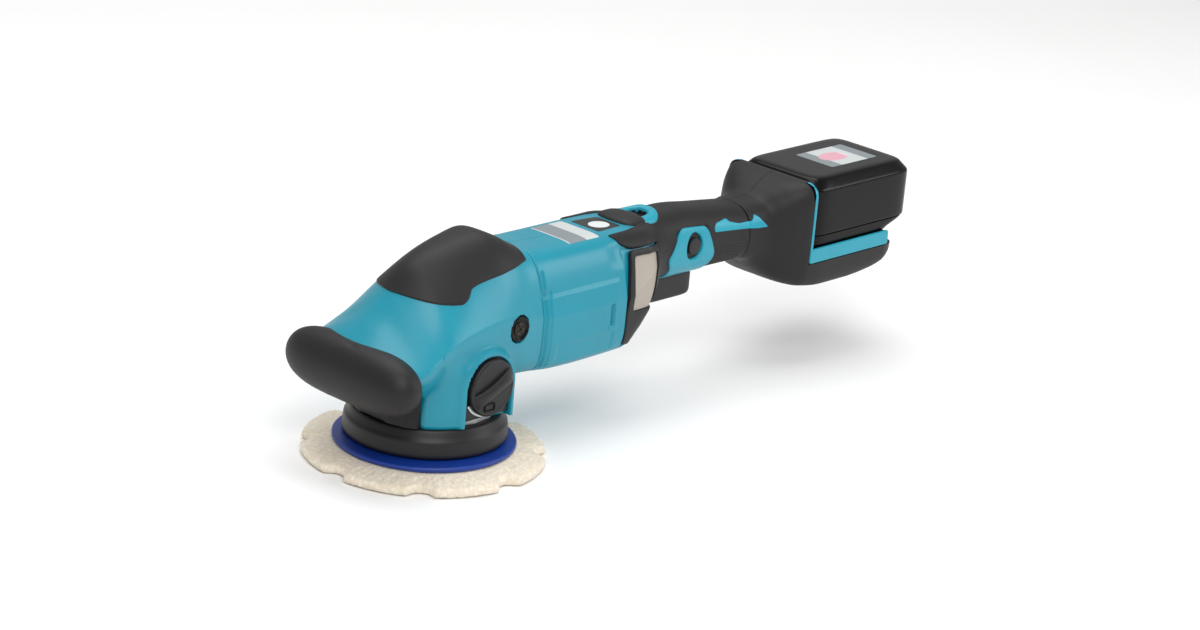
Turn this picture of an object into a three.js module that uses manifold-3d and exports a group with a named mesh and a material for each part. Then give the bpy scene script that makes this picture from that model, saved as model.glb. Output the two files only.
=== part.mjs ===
// A cordless dual action polisher: a battery tool whose motor lies along the body and drives, through
// a bevel pair, an upright spindle with an eccentric end that carries the pad.
// Millimetres. +Z up, +X from the nose to the battery, origin on the drive axis at the pad's face.
import * as THREE from "three";
import { mergeVertices } from "three/addons/utils/BufferGeometryUtils.js";
import Module from "manifold-3d";

const wasm = await Module();
wasm.setup();

// ---- Driving dimensions ----
const GAP = 0.3; // between any two pieces that meet
const WALL = 2.8; // moulded housing wall
const SKIN = 2; // elastomer over the handle
const RIM = 0.8; // how far a grip stands proud of the shell that it lies on

const PAD_RADIUS = 80;
const PAD_THICK = 9;
const PAD_EDGE = 4.5; // pad thickness at its rim
const NOTCHES = 8;
const NOTCH_RADIUS = 7;
const BACKING_RADIUS = 60;
const BACKING_THICK = 3.4;
const BACKING_HUB = 30;

const ORBIT = 5.5; // pad axis to drive axis
const REST_TURN = 45; // degrees that the eccentric stands past the nose at rest
const RING_TEETH = 44;
const PAD_TEETH = 39;
const PAD_GEAR_THICK = 5;
const RING_WALL = 1.5;
const SKIRT_WALL = 2;
const SKIRT_BOTTOM = 13.9;
const SKIRT_SHOULDER = 26; // where the skirt turns in to the head
const SKIRT_TOP = 32;

const MOTOR_Z = 87; // height of the motor axis
const PINION_TEETH = 10;
const WHEEL_TEETH = 37;
const BEVEL_MODULE = 1.25;
const BEVEL_FACE = 6.5;

const SHAFT_RADIUS = 4; // motor shaft
const SPINDLE_RADIUS = 8;
const SPINDLE_NECK = 5; // spindle radius in its upper bearing
const ROTOR_RADIUS = 15.5;
const STATOR_RADIUS = 31;
const STATOR_LENGTH = 32;
const STATOR_X = 82;
const FAN_RADIUS = 29;
const FAN_X = 61;

const SEAM_X = 63; // head cover to motor housing
const BODY_LENGTH = 117;
const BODY_HIGH = STATOR_RADIUS + 10; // motor axis to the top of the housing
const BODY_HALF = STATOR_RADIUS + 8;
const HANDLE_LENGTH = 103;
const HANDLE_HALF = 21.5;
const TAIL_LENGTH = 44.5;
const COLLAR_X = SEAM_X + BODY_LENGTH; // motor housing to handle
const HANDLE_END = COLLAR_X + HANDLE_LENGTH;
const DOCK_X = HANDLE_END + TAIL_LENGTH; // face of the tail that the battery slides up to

const BATTERY_LENGTH = 109;
const BATTERY_HALF = 37.5;
const BATTERY_HEIGHT = 48.7;
const BATTERY_WALL = 2.2;
const RELEASE_TRAVEL = 4;
const CELL_RADIUS = 9.2;

const BAY_HALF = BATTERY_HALF + 3.5; // half-width of the platform under the battery
const PLATFORM_END = DOCK_X + BATTERY_LENGTH - 6.5;
const PLATFORM_TOP = MOTOR_Z - 10;
const PLATFORM_BOTTOM = MOTOR_Z - 28.5;
const BED_TOP = PLATFORM_TOP + 9.5; // top of the rail bed, under the battery
const BED_END = DOCK_X + BATTERY_LENGTH - 22.5;
const BED_HALF = BAY_HALF - 0.6;
const BATTERY_TOP = BED_TOP + GAP + BATTERY_HEIGHT;
const DOCK_TOP = BATTERY_TOP - 0.5;

const KNOB_RADIUS = 19;
const KNOB_X = 8;
const KNOB_Z = MOTOR_Z - 31;
const KNOB_FACE = 50; // how far the knob's rim stands out from the middle plane
const PLUG_RADIUS = 8.5;
const PLUG_X = 38.5;

const BUTTON_RADIUS = 6;
const BUTTON_X = COLLAR_X + 44.5;
const BUTTON_Z = MOTOR_Z + 17;
const TRIGGER_X = [COLLAR_X + 16, COLLAR_X + 61];
const TRIGGER_HALF = 9;
const TRIGGER_Z = [MOTOR_Z - 24, MOTOR_Z - 3];
const DIAL_RADIUS = 13;
const DIAL_HALF = 4;
const DIAL_X = COLLAR_X + 3;
const DIAL_Z = MOTOR_Z + 29;

const FILTER_X = [COLLAR_X - 38, COLLAR_X - 3];
const FILTER_Z = [MOTOR_Z - 33, MOTOR_Z + 32];
const WINDOW_X = [COLLAR_X - 30, COLLAR_X - 7];
const WINDOW_Z = [MOTOR_Z - 10, MOTOR_Z + 26];

// ---- Geometry helpers ----
function solidOf(geometry) {
  const plain = geometry.clone();
  plain.deleteAttribute("normal");
  plain.deleteAttribute("uv");
  const merged = mergeVertices(plain, 1e-4);
  const triVerts = new Uint32Array(merged.index.array);
  const vertProperties = merged.attributes.position.array;
  const made = new wasm.Manifold(new wasm.Mesh({ numProp: 3, vertProperties, triVerts }));
  if (made.volume() > 0) return made;
  return new wasm.Manifold(new wasm.Mesh({ numProp: 3, vertProperties, triVerts: triVerts.reverse() }));
}

function geometryOf(solid) {
  const mesh = solid.getMesh();
  const stride = mesh.numProp;
  const position = new Float32Array(mesh.numVert * 3);
  for (let i = 0; i < mesh.numVert; i++)
    position.set(mesh.vertProperties.subarray(i * stride, i * stride + 3), i * 3);
  return new THREE.BufferGeometry()
    .setAttribute("position", new THREE.BufferAttribute(position, 3))
    .setIndex(new THREE.BufferAttribute(mesh.triVerts, 1));
}

function box(x, y, z) {
  const geometry = new THREE.BoxGeometry(x[1] - x[0], y[1] - y[0], z[1] - z[0]);
  geometry.translate((x[0] + x[1]) / 2, (y[0] + y[1]) / 2, (z[0] + z[1]) / 2);
  return solidOf(geometry);
}

const AXIS_TURN = {
  x: new THREE.Matrix4().makeRotationZ(-Math.PI / 2),
  y: new THREE.Matrix4(),
  z: new THREE.Matrix4().makeRotationX(Math.PI / 2),
};

// A turned piece: outline holds [radius, height] pairs, bottom to top along the axis.
function turned(outline, axis = "z", segments = 18) {
  const points = outline.map(([radius, height]) => new THREE.Vector2(radius, height));
  const geometry = new THREE.LatheGeometry(points, segments);
  geometry.applyMatrix4(AXIS_TURN[axis]);
  return solidOf(geometry);
}

function rod(radius, from, to, axis = "z", segments = 18) {
  return turned([[0, from], [radius, from], [radius, to], [0, to]], axis, segments);
}

function tube(inner, outer, from, to, axis = "z", segments = 18) {
  const outline = [[inner, from], [outer, from], [outer, to], [inner, to], [inner, from]];
  return turned(outline, axis, segments);
}

// A flat outline of [a, b] pairs, pushed through: "y" takes it as [x, z], "z" as [x, y], "x" as [y, z].
function prism(outline, from, to, axis) {
  const shape = new THREE.Shape(outline.map(([a, b]) => new THREE.Vector2(a, b)));
  const geometry = new THREE.ExtrudeGeometry(shape, { depth: to - from, bevelEnabled: false });
  geometry.translate(0, 0, from);
  const turn = new THREE.Matrix4();
  if (axis === "y") turn.set(1, 0, 0, 0, 0, 0, 1, 0, 0, 1, 0, 0, 0, 0, 0, 1);
  if (axis === "x") turn.set(0, 0, 1, 0, 1, 0, 0, 0, 0, 1, 0, 0, 0, 0, 0, 1);
  geometry.applyMatrix4(turn);
  return solidOf(geometry);
}

// Corners of a rectangle with rounded corners, in order.
function roundedRect([a0, a1], [b0, b1], radius, steps = 4) {
  const centres = [[a1 - radius, b1 - radius], [a0 + radius, b1 - radius],
    [a0 + radius, b0 + radius], [a1 - radius, b0 + radius]];
  return centres.flatMap(([a, b], corner) =>
    Array.from({ length: steps + 1 }, (_, i) => {
      const angle = (corner + i / steps) * (Math.PI / 2);
      return [a + radius * Math.cos(angle), b + radius * Math.sin(angle)];
    }),
  );
}

const grown = ([low, high], by) => [low - by, high + by];

// Smooth curve through [x, value] keys that never overshoots them.
function through(keys, x) {
  const last = keys.length - 1;
  if (x <= keys[0][0]) return keys[0][1];
  if (x >= keys[last][0]) return keys[last][1];
  const slope = (i) => (keys[i + 1][1] - keys[i][1]) / (keys[i + 1][0] - keys[i][0]);
  const tangent = (i) => {
    if (i === 0) return slope(0);
    if (i === last) return slope(last - 1);
    const [before, after] = [slope(i - 1), slope(i)];
    return before * after <= 0 ? 0 : (2 * before * after) / (before + after);
  };
  const i = keys.findIndex(([key]) => key >= x) - 1;
  const span = keys[i + 1][0] - keys[i][0];
  const t = (x - keys[i][0]) / span;
  return (2 * t ** 3 - 3 * t ** 2 + 1) * keys[i][1] + (t ** 3 - 2 * t ** 2 + t) * span * tangent(i)
    + (3 * t ** 2 - 2 * t ** 3) * keys[i + 1][1] + (t ** 3 - t ** 2) * span * tangent(i + 1);
}

// A body along X. Its section at each station is a superellipse from bottom to top, "half" wide each
// way; square is the exponent, lean narrows its upper half towards the top, and offset grows it all round.
function loft(body, from, to, offset = 0, step = 17, around = 18) {
  const count = Math.max(2, Math.round((to - from) / step));
  const position = [];
  const index = [];
  const stations = [...Array(count + 1).keys()].map((i) => from + ((to - from) * i) / count);
  for (const x of stations) {
    const [top, bottom, half, square, lean] =
      ["top", "bottom", "half", "square", "lean"].map((key) => through(body[key], x));
    const middle = (top + bottom) / 2;
    for (let j = 0; j < around; j++) {
      const angle = (2 * Math.PI * j) / around;
      const along = (v) => Math.sign(v) * Math.abs(v) ** (2 / square);
      const rise = along(Math.sin(angle));
      position.push(x, (half * (1 - lean * Math.max(0, rise)) + offset) * along(Math.cos(angle)),
        middle + ((top - bottom) / 2 + offset) * rise);
    }
  }
  for (let i = 0; i < count; i++)
    for (let j = 0; j < around; j++) {
      const [a, b] = [i * around + j, i * around + ((j + 1) % around)];
      index.push(a, b, a + around, b, b + around, a + around);
    }
  [0, count].forEach((i) => {
    const centre = position.length / 3;
    const body0 = stations[i];
    position.push(body0, 0, (through(body.top, body0) + through(body.bottom, body0)) / 2);
    for (let j = 0; j < around; j++) {
      const [a, b] = [i * around + j, i * around + ((j + 1) % around)];
      index.push(...(i ? [a, b, centre] : [b, a, centre]));
    }
  });
  const geometry = new THREE.BufferGeometry();
  geometry.setAttribute("position", new THREE.Float32BufferAttribute(position, 3));
  geometry.setIndex(index);
  return solidOf(geometry);
}

const FAR = 400; // beyond the object in every direction
const leftHalf = (solid) => solid.intersect(box([-FAR, 2 * FAR], [-FAR, -GAP / 2], [-FAR, FAR]));
const rightHalf = (solid) => solid.intersect(box([-FAR, 2 * FAR], [GAP / 2, FAR], [-FAR, FAR]));

// ---- Outer forms ----
// Keys measured from a place and a level.
const keyed = (x0, level, keys) => keys.map(([x, value]) => [x0 + x, level + value]);

const housingForm = {
  top: [...keyed(SEAM_X, MOTOR_Z + BODY_HIGH, [[0, 2], [17, 0.5], [77, 0]]),
    ...keyed(COLLAR_X, MOTOR_Z, [[0, 40], [20, 42], [34, 42], [66, 38.5], [HANDLE_LENGTH, 34]])],
  bottom: [...keyed(SEAM_X, MOTOR_Z - BODY_HIGH, [[0, 1], [37, 0]]),
    ...keyed(COLLAR_X, MOTOR_Z, [[-34, 1 - BODY_HIGH], [-24, -31], [-4, -9], [10, -6], [HANDLE_LENGTH,
    -7]])],
  half: [...keyed(SEAM_X, BODY_HALF, [[0, -0.5], [37, 0]]),
    ...keyed(COLLAR_X, 0, [[-16, BODY_HALF], [-4, 34], [6, 26], [20, 22.5], [HANDLE_LENGTH, HANDLE_HALF]])],
  square: [[SEAM_X, 4.5], [SEAM_X + 17, 5.5], ...keyed(COLLAR_X, 0, [[-16, 5.5], [0, 3.4], [20, 2.6],
    [HANDLE_LENGTH, 2.5]])],
  lean: [[SEAM_X, 0.28], ...keyed(COLLAR_X, 0, [[-16, 0.25], [6, 0.1], [HANDLE_LENGTH, 0.05]])],
};

// From the handle's half-width to the bay's, by share.
const flareHalf = (share) => HANDLE_HALF + (BAY_HALF - 0.5 - HANDLE_HALF) * share;
const tailForm = {
  top: [...keyed(HANDLE_END, MOTOR_Z, [[0, 34], [17, 35.5], [27, 41], [35, 45.5]]), [DOCK_X, DOCK_TOP]],
  bottom: keyed(HANDLE_END, MOTOR_Z, [[0, -7], [13, -9.5], [23, -16], [33, -22.5], [TAIL_LENGTH, -26]]),
  half: [[HANDLE_END, HANDLE_HALF], [HANDLE_END + 17, flareHalf(0.13)], [HANDLE_END + 27, flareHalf(0.5)],
    [HANDLE_END + 35, flareHalf(0.79)], [DOCK_X, flareHalf(1)]],
  square: keyed(HANDLE_END, 0, [[0, 2.5], [17, 3], [32, 5], [TAIL_LENGTH, 7]]),
  lean: [[HANDLE_END, 0], [DOCK_X, 0]],
};
const headForm = {
  top: [...keyed(0, MOTOR_Z, [[-84, -14], [-74, -0.5], [-62, 8], [-50, 17.5], [-40, 27.5], [-23, 44], [-5, 51.5],
    [15, 56], [27, 57.5], [40, 53.5], [54, 46]]), [SEAM_X, MOTOR_Z + BODY_HIGH + 2]],
  bottom: [...keyed(0, MOTOR_Z, [[-84, -21], [-70, -27], [-50, -35], [-36, -38], [30, -39]]),
    [SEAM_X, MOTOR_Z - BODY_HIGH + 1]],
  half: [[-84, 42], [-70, 49], [-50, 49.5], [-30, 46.5], [0, 44], [30, 42], [SEAM_X, BODY_HALF - 0.5]],
  square: [[-84, 2.4], [-50, 2.2], [-20, 2.4], [20, 2.8], [50, 4], [SEAM_X, 4.5]],
  lean: [[-84, 0.15], [-70, 0.35], [-50, 0.58], [-30, 0.58], [0, 0.48], [30, 0.4], [SEAM_X, 0.28]],
};
const COLUMN_RADIUS = 48.5;
const COLUMN_BOTTOM = SKIRT_TOP + 0.4;

// ---- Gears ----
// Outline of a gear with straight-flanked teeth: half-widths of a tooth are in radians at tip and root.
function gearOutline(teeth, tipRadius, rootRadius, tipHalf, rootHalf, phase = 0) {
  return Array.from({ length: teeth }, (_, i) => (2 * Math.PI * i) / teeth + phase).flatMap((mid) =>
    [[rootRadius, -rootHalf], [tipRadius, -tipHalf], [tipRadius, tipHalf], [rootRadius, rootHalf]]
      .map(([radius, by]) => [radius * Math.cos(mid + by), radius * Math.sin(mid + by)]),
  );
}

const GEAR_MODULE = (2 * ORBIT) / (RING_TEETH - PAD_TEETH);
const RING_PITCH = (GEAR_MODULE * RING_TEETH) / 2;
const PAD_PITCH = (GEAR_MODULE * PAD_TEETH) / 2;
const TOOTH_ABOVE = 0.4 * GEAR_MODULE;
const TOOTH_BELOW = 0.65 * GEAR_MODULE;
const TOOTH_SHARE = 0.5 * 0.82; // tooth width over pitch, less backlash
const FLANK = 0.3; // tangent of the pressure angle
const RING_ROOT = RING_PITCH + TOOTH_BELOW;
const RING_OUTER = RING_ROOT + RING_WALL;
const SKIRT_SIDES = 32;
const SKIRT_INNER = (RING_OUTER + GAP) / Math.cos(Math.PI / SKIRT_SIDES);
const SKIRT_RADIUS = SKIRT_INNER + SKIRT_WALL;

// Half-width in radians of a tooth on a pitch circle, at a radius "out" beyond it.
const toothHalf = (pitch, out) => (TOOTH_SHARE * Math.PI * GEAR_MODULE / 2 - out * FLANK) / (pitch + out);

const BACKING_BOTTOM = PAD_THICK + GAP;
const BACKING_TOP = BACKING_BOTTOM + BACKING_THICK;
const HUB_TOP = 16.3;
const PAD_GEAR_BOTTOM = HUB_TOP + GAP;
const PAD_GEAR_TOP = PAD_GEAR_BOTTOM + PAD_GEAR_THICK;
const RING_TOP = PAD_GEAR_TOP + 0.3;
const RING_BOTTOM = SKIRT_BOTTOM + 1;

function ringGear() {
  const tip = RING_PITCH - TOOTH_ABOVE;
  const spaceHalf = (radius) => Math.PI / RING_TEETH - toothHalf(RING_PITCH, RING_PITCH - radius);
  const bore = gearOutline(RING_TEETH, RING_ROOT, tip, spaceHalf(RING_ROOT), spaceHalf(tip),
    Math.PI);
  const blank = rod(RING_OUTER, RING_BOTTOM, RING_TOP, "z", SKIRT_SIDES);
  return blank.subtract(prism(bore, RING_BOTTOM - 1, RING_TOP + 1, "z"));
}

function padGear() {
  const tip = PAD_PITCH + TOOTH_ABOVE;
  const root = PAD_PITCH - TOOTH_BELOW;
  const outline = gearOutline(PAD_TEETH, tip, root, toothHalf(PAD_PITCH, TOOTH_ABOVE),
    toothHalf(PAD_PITCH, -TOOTH_BELOW), Math.PI);
  return prism(outline, PAD_GEAR_BOTTOM, PAD_GEAR_TOP, "z").subtract(rod(PAD_STEM + GAP, 0, FAR));
}

const PINION_PITCH = (BEVEL_MODULE * PINION_TEETH) / 2;
const WHEEL_PITCH = (BEVEL_MODULE * WHEEL_TEETH) / 2;
const CONE = Math.hypot(PINION_PITCH, WHEEL_PITCH);
const BEVEL_ABOVE = 0.4 * BEVEL_MODULE;
const BEVEL_BELOW = 0.75 * BEVEL_MODULE;
const BEVEL_SHARE = 0.5 * 0.7;

const BEVEL_NEAR = 1 - BEVEL_FACE / CONE; // inner end of the teeth, as a share of the cone

// A bevel gear about +Z with its cone's point at the origin and its teeth above it: a toothed
// frustum, flat at the inner and the outer end of the face.
function bevelGear(teeth, pitch, height, phase) {
  const coneAngle = Math.atan2(pitch, height);
  const radiusAt = (rise) => height * Math.tan(coneAngle + rise / CONE);
  const half = (rise) =>
    (BEVEL_SHARE * Math.PI * BEVEL_MODULE / 2 - rise * FLANK) / (pitch + rise * Math.cos(coneAngle));
  const outline = gearOutline(teeth, radiusAt(BEVEL_ABOVE), radiusAt(-BEVEL_BELOW),
    half(BEVEL_ABOVE), half(-BEVEL_BELOW), phase);
  const position = [BEVEL_NEAR, 1].flatMap((scale) =>
    outline.flatMap(([a, b]) => [a * scale, b * scale, height * scale]));
  position.push(0, 0, height * BEVEL_NEAR, 0, 0, height);
  const count = outline.length;
  const index = outline.flatMap((_, i) => {
    const next = (i + 1) % count;
    return [i, next, count + i, next, count + next, count + i, next, i, 2 * count,
      count + i, count + next, 2 * count + 1];
  });
  const geometry = new THREE.BufferGeometry();
  geometry.setAttribute("position", new THREE.Float32BufferAttribute(position, 3));
  geometry.setIndex(index);
  return solidOf(geometry);
}

// ---- Pad and backing ----
function polishingPad() {
  const flat = BACKING_RADIUS - 2;
  const body = turned([[0, 0], [PAD_RADIUS - 2, 0], [PAD_RADIUS, 1.5], [PAD_RADIUS, PAD_EDGE - 1],
    [PAD_RADIUS - 1.5, PAD_EDGE], [flat + 6, PAD_THICK - 1.2], [flat, PAD_THICK], [0, PAD_THICK]], "z", 32);
  return Array.from({ length: NOTCHES }, (_, i) => (2 * Math.PI * (i + 0.5)) / NOTCHES)
    .map((angle) => rod(NOTCH_RADIUS, -1, PAD_THICK + 1, "z", 16).translate(
      (PAD_RADIUS + NOTCH_RADIUS * 0.25) * Math.cos(angle),
      (PAD_RADIUS + NOTCH_RADIUS * 0.25) * Math.sin(angle), 0))
    .reduce((made, notch) => made.subtract(notch), body);
}

const BOLT_HEAD = 6.5;
const BOLT_RADIUS = 4;
const BOLT_HEAD_TOP = BACKING_BOTTOM + 4;
const PAD_STEM = 7; // radius of the pad spindle
const STEM_BOTTOM = BOLT_HEAD_TOP + 2;

function backingPad() {
  const blank = turned([[0, BACKING_BOTTOM], [BACKING_RADIUS - 0.8, BACKING_BOTTOM],
    [BACKING_RADIUS, BACKING_BOTTOM + 0.8], [BACKING_RADIUS, BACKING_TOP - 0.6],
    [BACKING_RADIUS - 0.6, BACKING_TOP], [BACKING_HUB + 4, BACKING_TOP], [BACKING_HUB, HUB_TOP],
    [0, HUB_TOP]], "z", 32);
  return blank.subtract(rod(BOLT_HEAD + GAP, 0, BOLT_HEAD_TOP + GAP))
    .subtract(rod(BOLT_RADIUS + GAP, 0, FAR))
    .subtract(rod(PAD_STEM + GAP, STEM_BOTTOM - GAP, FAR));
}

const BOLT_TIP = 30;

function padBolt() {
  const socket = prism(gearOutline(6, 3, 3, 0.01, 0.01), BACKING_BOTTOM - 1, BACKING_BOTTOM + 2.6, "z");
  const head = rod(BOLT_HEAD, BACKING_BOTTOM + 0.4, BOLT_HEAD_TOP);
  return head.add(rod(BOLT_RADIUS, BOLT_HEAD_TOP - 1, BOLT_TIP, "z", 20)).subtract(socket);
}

const CUP_BOTTOM = 28;
const CUP_TOP = CUP_BOTTOM + 16;
const CUP_RADIUS = 20;
const PAD_BEARING = [PAD_STEM + GAP, 16];
const PAD_BEARING_Z = [CUP_BOTTOM + 1.4, CUP_BOTTOM + 12.6];

function padSpindle() {
  const flange = rod(14, PAD_GEAR_TOP + GAP, PAD_GEAR_TOP + 2.2);
  const stem = rod(PAD_STEM, STEM_BOTTOM, PAD_BEARING_Z[1] + 1);
  return flange.add(stem).subtract(rod(BOLT_RADIUS + GAP, 0, BOLT_TIP + GAP, "z", 20));
}

// A ball bearing shown as one ring, with the groove between its races on the outer side.
function bearing([inner, outer], [from, to], axis = "z") {
  const [low, high] = [inner + (outer - inner) * 0.3, inner + (outer - inner) * 0.7];
  const groove = (to - from) * 0.12;
  const outline = [[inner, from], [low, from], [low, from + groove], [high, from + groove], [high, from],
    [outer, from], [outer, to], [inner, to], [inner, from]];
  return turned(outline, axis, 14);
}

// ---- Drive spindle ----
const LOWER_BEARING_Z = [MOTOR_Z - 39, MOTOR_Z - 30];
const LOWER_BEARING = 17; // outer radius
const UPPER_BEARING_Z = [MOTOR_Z + 8.3, MOTOR_Z + 15.8];
const SPINDLE_TOP = UPPER_BEARING_Z[1] + 1;

function driveSpindle() {
  const cup = rod(CUP_RADIUS, CUP_BOTTOM, CUP_TOP)
    .subtract(rod(PAD_BEARING[1] + GAP, CUP_BOTTOM - 1, PAD_BEARING_Z[1] + GAP))
    .subtract(rod(PAD_STEM + 2, 0, PAD_BEARING_Z[1] + 1.6))
    .translate(-ORBIT, 0, 0);
  const step = LOWER_BEARING_Z[0] - GAP;
  const neck = WHEEL_Z[1] + GAP;
  const shaft = turned([[0, CUP_TOP - 2], [SPINDLE_RADIUS + 4, CUP_TOP - 2], [SPINDLE_RADIUS + 4, step],
    [SPINDLE_RADIUS, step], [SPINDLE_RADIUS, neck], [SPINDLE_NECK, neck],
    [SPINDLE_NECK, SPINDLE_TOP], [0, SPINDLE_TOP]]);
  return cup.add(shaft);
}

function counterweight() {
  const half = tube(CUP_RADIUS + ORBIT + GAP, 35, CUP_BOTTOM + 4, CUP_TOP - 4, "z", 32)
    .intersect(box([0, FAR], [-FAR, FAR], [0, FAR]));
  const web = box([CUP_RADIUS - ORBIT + 1, CUP_RADIUS + ORBIT + 2], [-8, 8], [CUP_BOTTOM + 4, CUP_TOP - 4])
    .subtract(rod(CUP_RADIUS + GAP, 0, FAR).translate(-ORBIT, 0, 0));
  return half.add(web);
}

// The wheel's teeth stand up towards the motor axis from the outer end of the cone.
const WHEEL_BACK = MOTOR_Z - PINION_PITCH;
const WHEEL_Z = [MOTOR_Z - 25, MOTOR_Z - PINION_PITCH * BEVEL_NEAR];

function bevelWheel() {
  const teeth = bevelGear(WHEEL_TEETH, WHEEL_PITCH, PINION_PITCH, 0)
    .rotate([180, 0, 0]).translate(0, 0, MOTOR_Z);
  const hub = turned([[0, WHEEL_Z[0]], [13, WHEEL_Z[0]], [14, WHEEL_BACK - 6],
    [WHEEL_PITCH - 4, WHEEL_BACK - 5], [WHEEL_PITCH - 4, WHEEL_BACK + 0.3], [0, WHEEL_BACK + 0.3]]);
  return teeth.add(hub).subtract(rod(SPINDLE_RADIUS + GAP, 0, FAR));
}

// ---- Motor ----
const PINION_HUB_X = WHEEL_PITCH + 6;

function motorPinion() {
  const teeth = bevelGear(PINION_TEETH, PINION_PITCH, WHEEL_PITCH, Math.PI / PINION_TEETH)
    .rotate([0, 90, 0]);
  return teeth.add(rod(PINION_PITCH - 0.6, WHEEL_PITCH - 0.2, PINION_HUB_X, "x", 20))
    .subtract(rod(SHAFT_RADIUS - 1 + GAP, WHEEL_PITCH * BEVEL_NEAR + 2, FAR, "x", 16));
}

const FRONT_BEARING_X = [44, 53];
const STATOR_END = STATOR_X + STATOR_LENGTH;
const REAR_BEARING_X = [STATOR_END + 18, STATOR_END + 25];
const FRONT_BEARING = [SHAFT_RADIUS + GAP, 12.5];
const REAR_BEARING = [SHAFT_RADIUS + GAP, 9.5];

function rotorShaft() {
  const tip = WHEEL_PITCH * BEVEL_NEAR + 2 + GAP;
  return rod(SHAFT_RADIUS - 1, tip, PINION_HUB_X + 1, "x", 16)
    .add(rod(SHAFT_RADIUS, PINION_HUB_X + GAP, REAR_BEARING_X[1] + 1, "x", 20));
}

function rotorCore() {
  const round = gearOutline(4, ROTOR_RADIUS, ROTOR_RADIUS, 0.25, 0.6);
  return prism(round, STATOR_X, STATOR_END, "x").subtract(rod(SHAFT_RADIUS + GAP, 0, FAR, "x", 20));
}

function motorFan() {
  const disc = turned([[SHAFT_RADIUS + GAP, FAN_X], [8, FAN_X], [8, FAN_X + 8], [FAN_RADIUS, FAN_X + 11],
    [FAN_RADIUS, FAN_X + 12.5], [SHAFT_RADIUS + GAP, FAN_X + 12.5], [SHAFT_RADIUS + GAP, FAN_X]], "x", 28);
  const blade = box([FAN_X + 2, FAN_X + 11.5], [11, FAN_RADIUS - 1], [-0.8, 0.8]);
  return Array.from({ length: 7 }, (_, i) => blade.rotate([(360 / 7) * i, 0, 0]))
    .reduce((made, one) => made.add(one), disc);
}

function statorCore() {
  const ring = tube(ROTOR_RADIUS + 0.8, STATOR_RADIUS, STATOR_X, STATOR_END, "x");
  const slot = box([0, FAR], [-5, 5], [ROTOR_RADIUS + 4, STATOR_RADIUS - 5]);
  const mouth = box([0, FAR], [-1, 1], [0, ROTOR_RADIUS + 6]);
  return Array.from({ length: 6 }, (_, i) => slot.add(mouth).rotate([60 * i, 0, 0]))
    .reduce((made, one) => made.subtract(one), ring);
}

function winding([from, to]) {
  const lobes = gearOutline(6, STATOR_RADIUS - 3, STATOR_RADIUS - 7, 0.3, 0.42);
  return prism(lobes, from, to, "x").subtract(rod(ROTOR_RADIUS + 2, 0, FAR, "x", 28));
}

function rearBearingPlate() {
  const half = STATOR_RADIUS - 3;
  const outline = roundedRect([-half, half], [-half, half], half / 2, 1);
  const plate = prism(outline, REAR_BEARING_X[0] - 0.5, REAR_BEARING_X[0] + 2, "x");
  const seat = rod(REAR_BEARING[1] + 2.5, REAR_BEARING_X[0] - 0.5, REAR_BEARING_X[1] + 2, "x");
  const bore = rod(REAR_BEARING[1] + GAP, REAR_BEARING_X[0] - GAP, REAR_BEARING_X[1] + GAP, "x");
  return plate.add(seat).subtract(bore).subtract(rod(SHAFT_RADIUS + 1, 0, FAR, "x", 20));
}

// ---- Head ----
const CASE_FLANGE = 45.4;

const CASE_BORE = COLUMN_RADIUS - 12; // room for the counterweight
const CASE_NECK = 17; // over the upper bearing
const NECK_BEARING = 11.5;
const CASE_WHEEL = WHEEL_PITCH + 4.4; // room for the bevel wheel

function gearCase() {
  const [seatLow, seatHigh] = [LOWER_BEARING_Z[0] - 2, LOWER_BEARING_Z[1] + GAP];
  const barrel = turned([[0, SKIRT_TOP + GAP], [CASE_FLANGE, SKIRT_TOP + GAP], [CASE_FLANGE, SKIRT_TOP + 4],
    [CASE_BORE + 3.5, SKIRT_TOP + 5], [CASE_BORE + 3.5, seatLow + 1], [CASE_WHEEL + 3.5, seatLow + 6],
    [CASE_WHEEL + 3.5, MOTOR_Z + 11], [CASE_NECK, MOTOR_Z + 14], [CASE_NECK, SPINDLE_TOP + 4],
    [0, SPINDLE_TOP + 4]]);
  const snout = rod(24, 0, FRONT_BEARING_X[1] + 3, "x").translate(0, 0, MOTOR_Z);
  const bore = turned([[0, 0], [CASE_BORE, 0], [CASE_BORE, seatLow], [LOWER_BEARING + GAP, seatLow],
    [LOWER_BEARING + GAP, seatHigh], [14, seatHigh], [14, seatHigh + 2.7], [CASE_WHEEL, seatHigh + 2.7],
    [CASE_WHEEL, MOTOR_Z + 7.5], [NECK_BEARING + GAP, MOTOR_Z + 7.5],
    [NECK_BEARING + GAP, UPPER_BEARING_Z[1] + GAP], [SPINDLE_NECK + 2, UPPER_BEARING_Z[1] + GAP],
    [SPINDLE_NECK + 2, SPINDLE_TOP + 1], [0, SPINDLE_TOP + 1]]);
  const motorSeat = rod(FRONT_BEARING[1] + GAP, 20, FAR, "x").translate(0, 0, MOTOR_Z);
  return barrel.add(snout).subtract(bore).subtract(motorSeat);
}

function skirt() {
  return turned([[SKIRT_INNER, SKIRT_BOTTOM], [SKIRT_RADIUS - 0.6, SKIRT_BOTTOM], [SKIRT_RADIUS,
    SKIRT_BOTTOM + 0.8],
    [SKIRT_RADIUS - 0.8, SKIRT_SHOULDER - 1.5], [SKIRT_RADIUS - 2.5, SKIRT_SHOULDER + 0.5],
    [COLUMN_RADIUS + 1, SKIRT_TOP - 1],
    [COLUMN_RADIUS, SKIRT_TOP], [38, SKIRT_TOP], [38, RING_TOP + GAP], [SKIRT_INNER, RING_TOP + GAP],
    [SKIRT_INNER, SKIRT_BOTTOM]], "z", SKIRT_SIDES);
}

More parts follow.
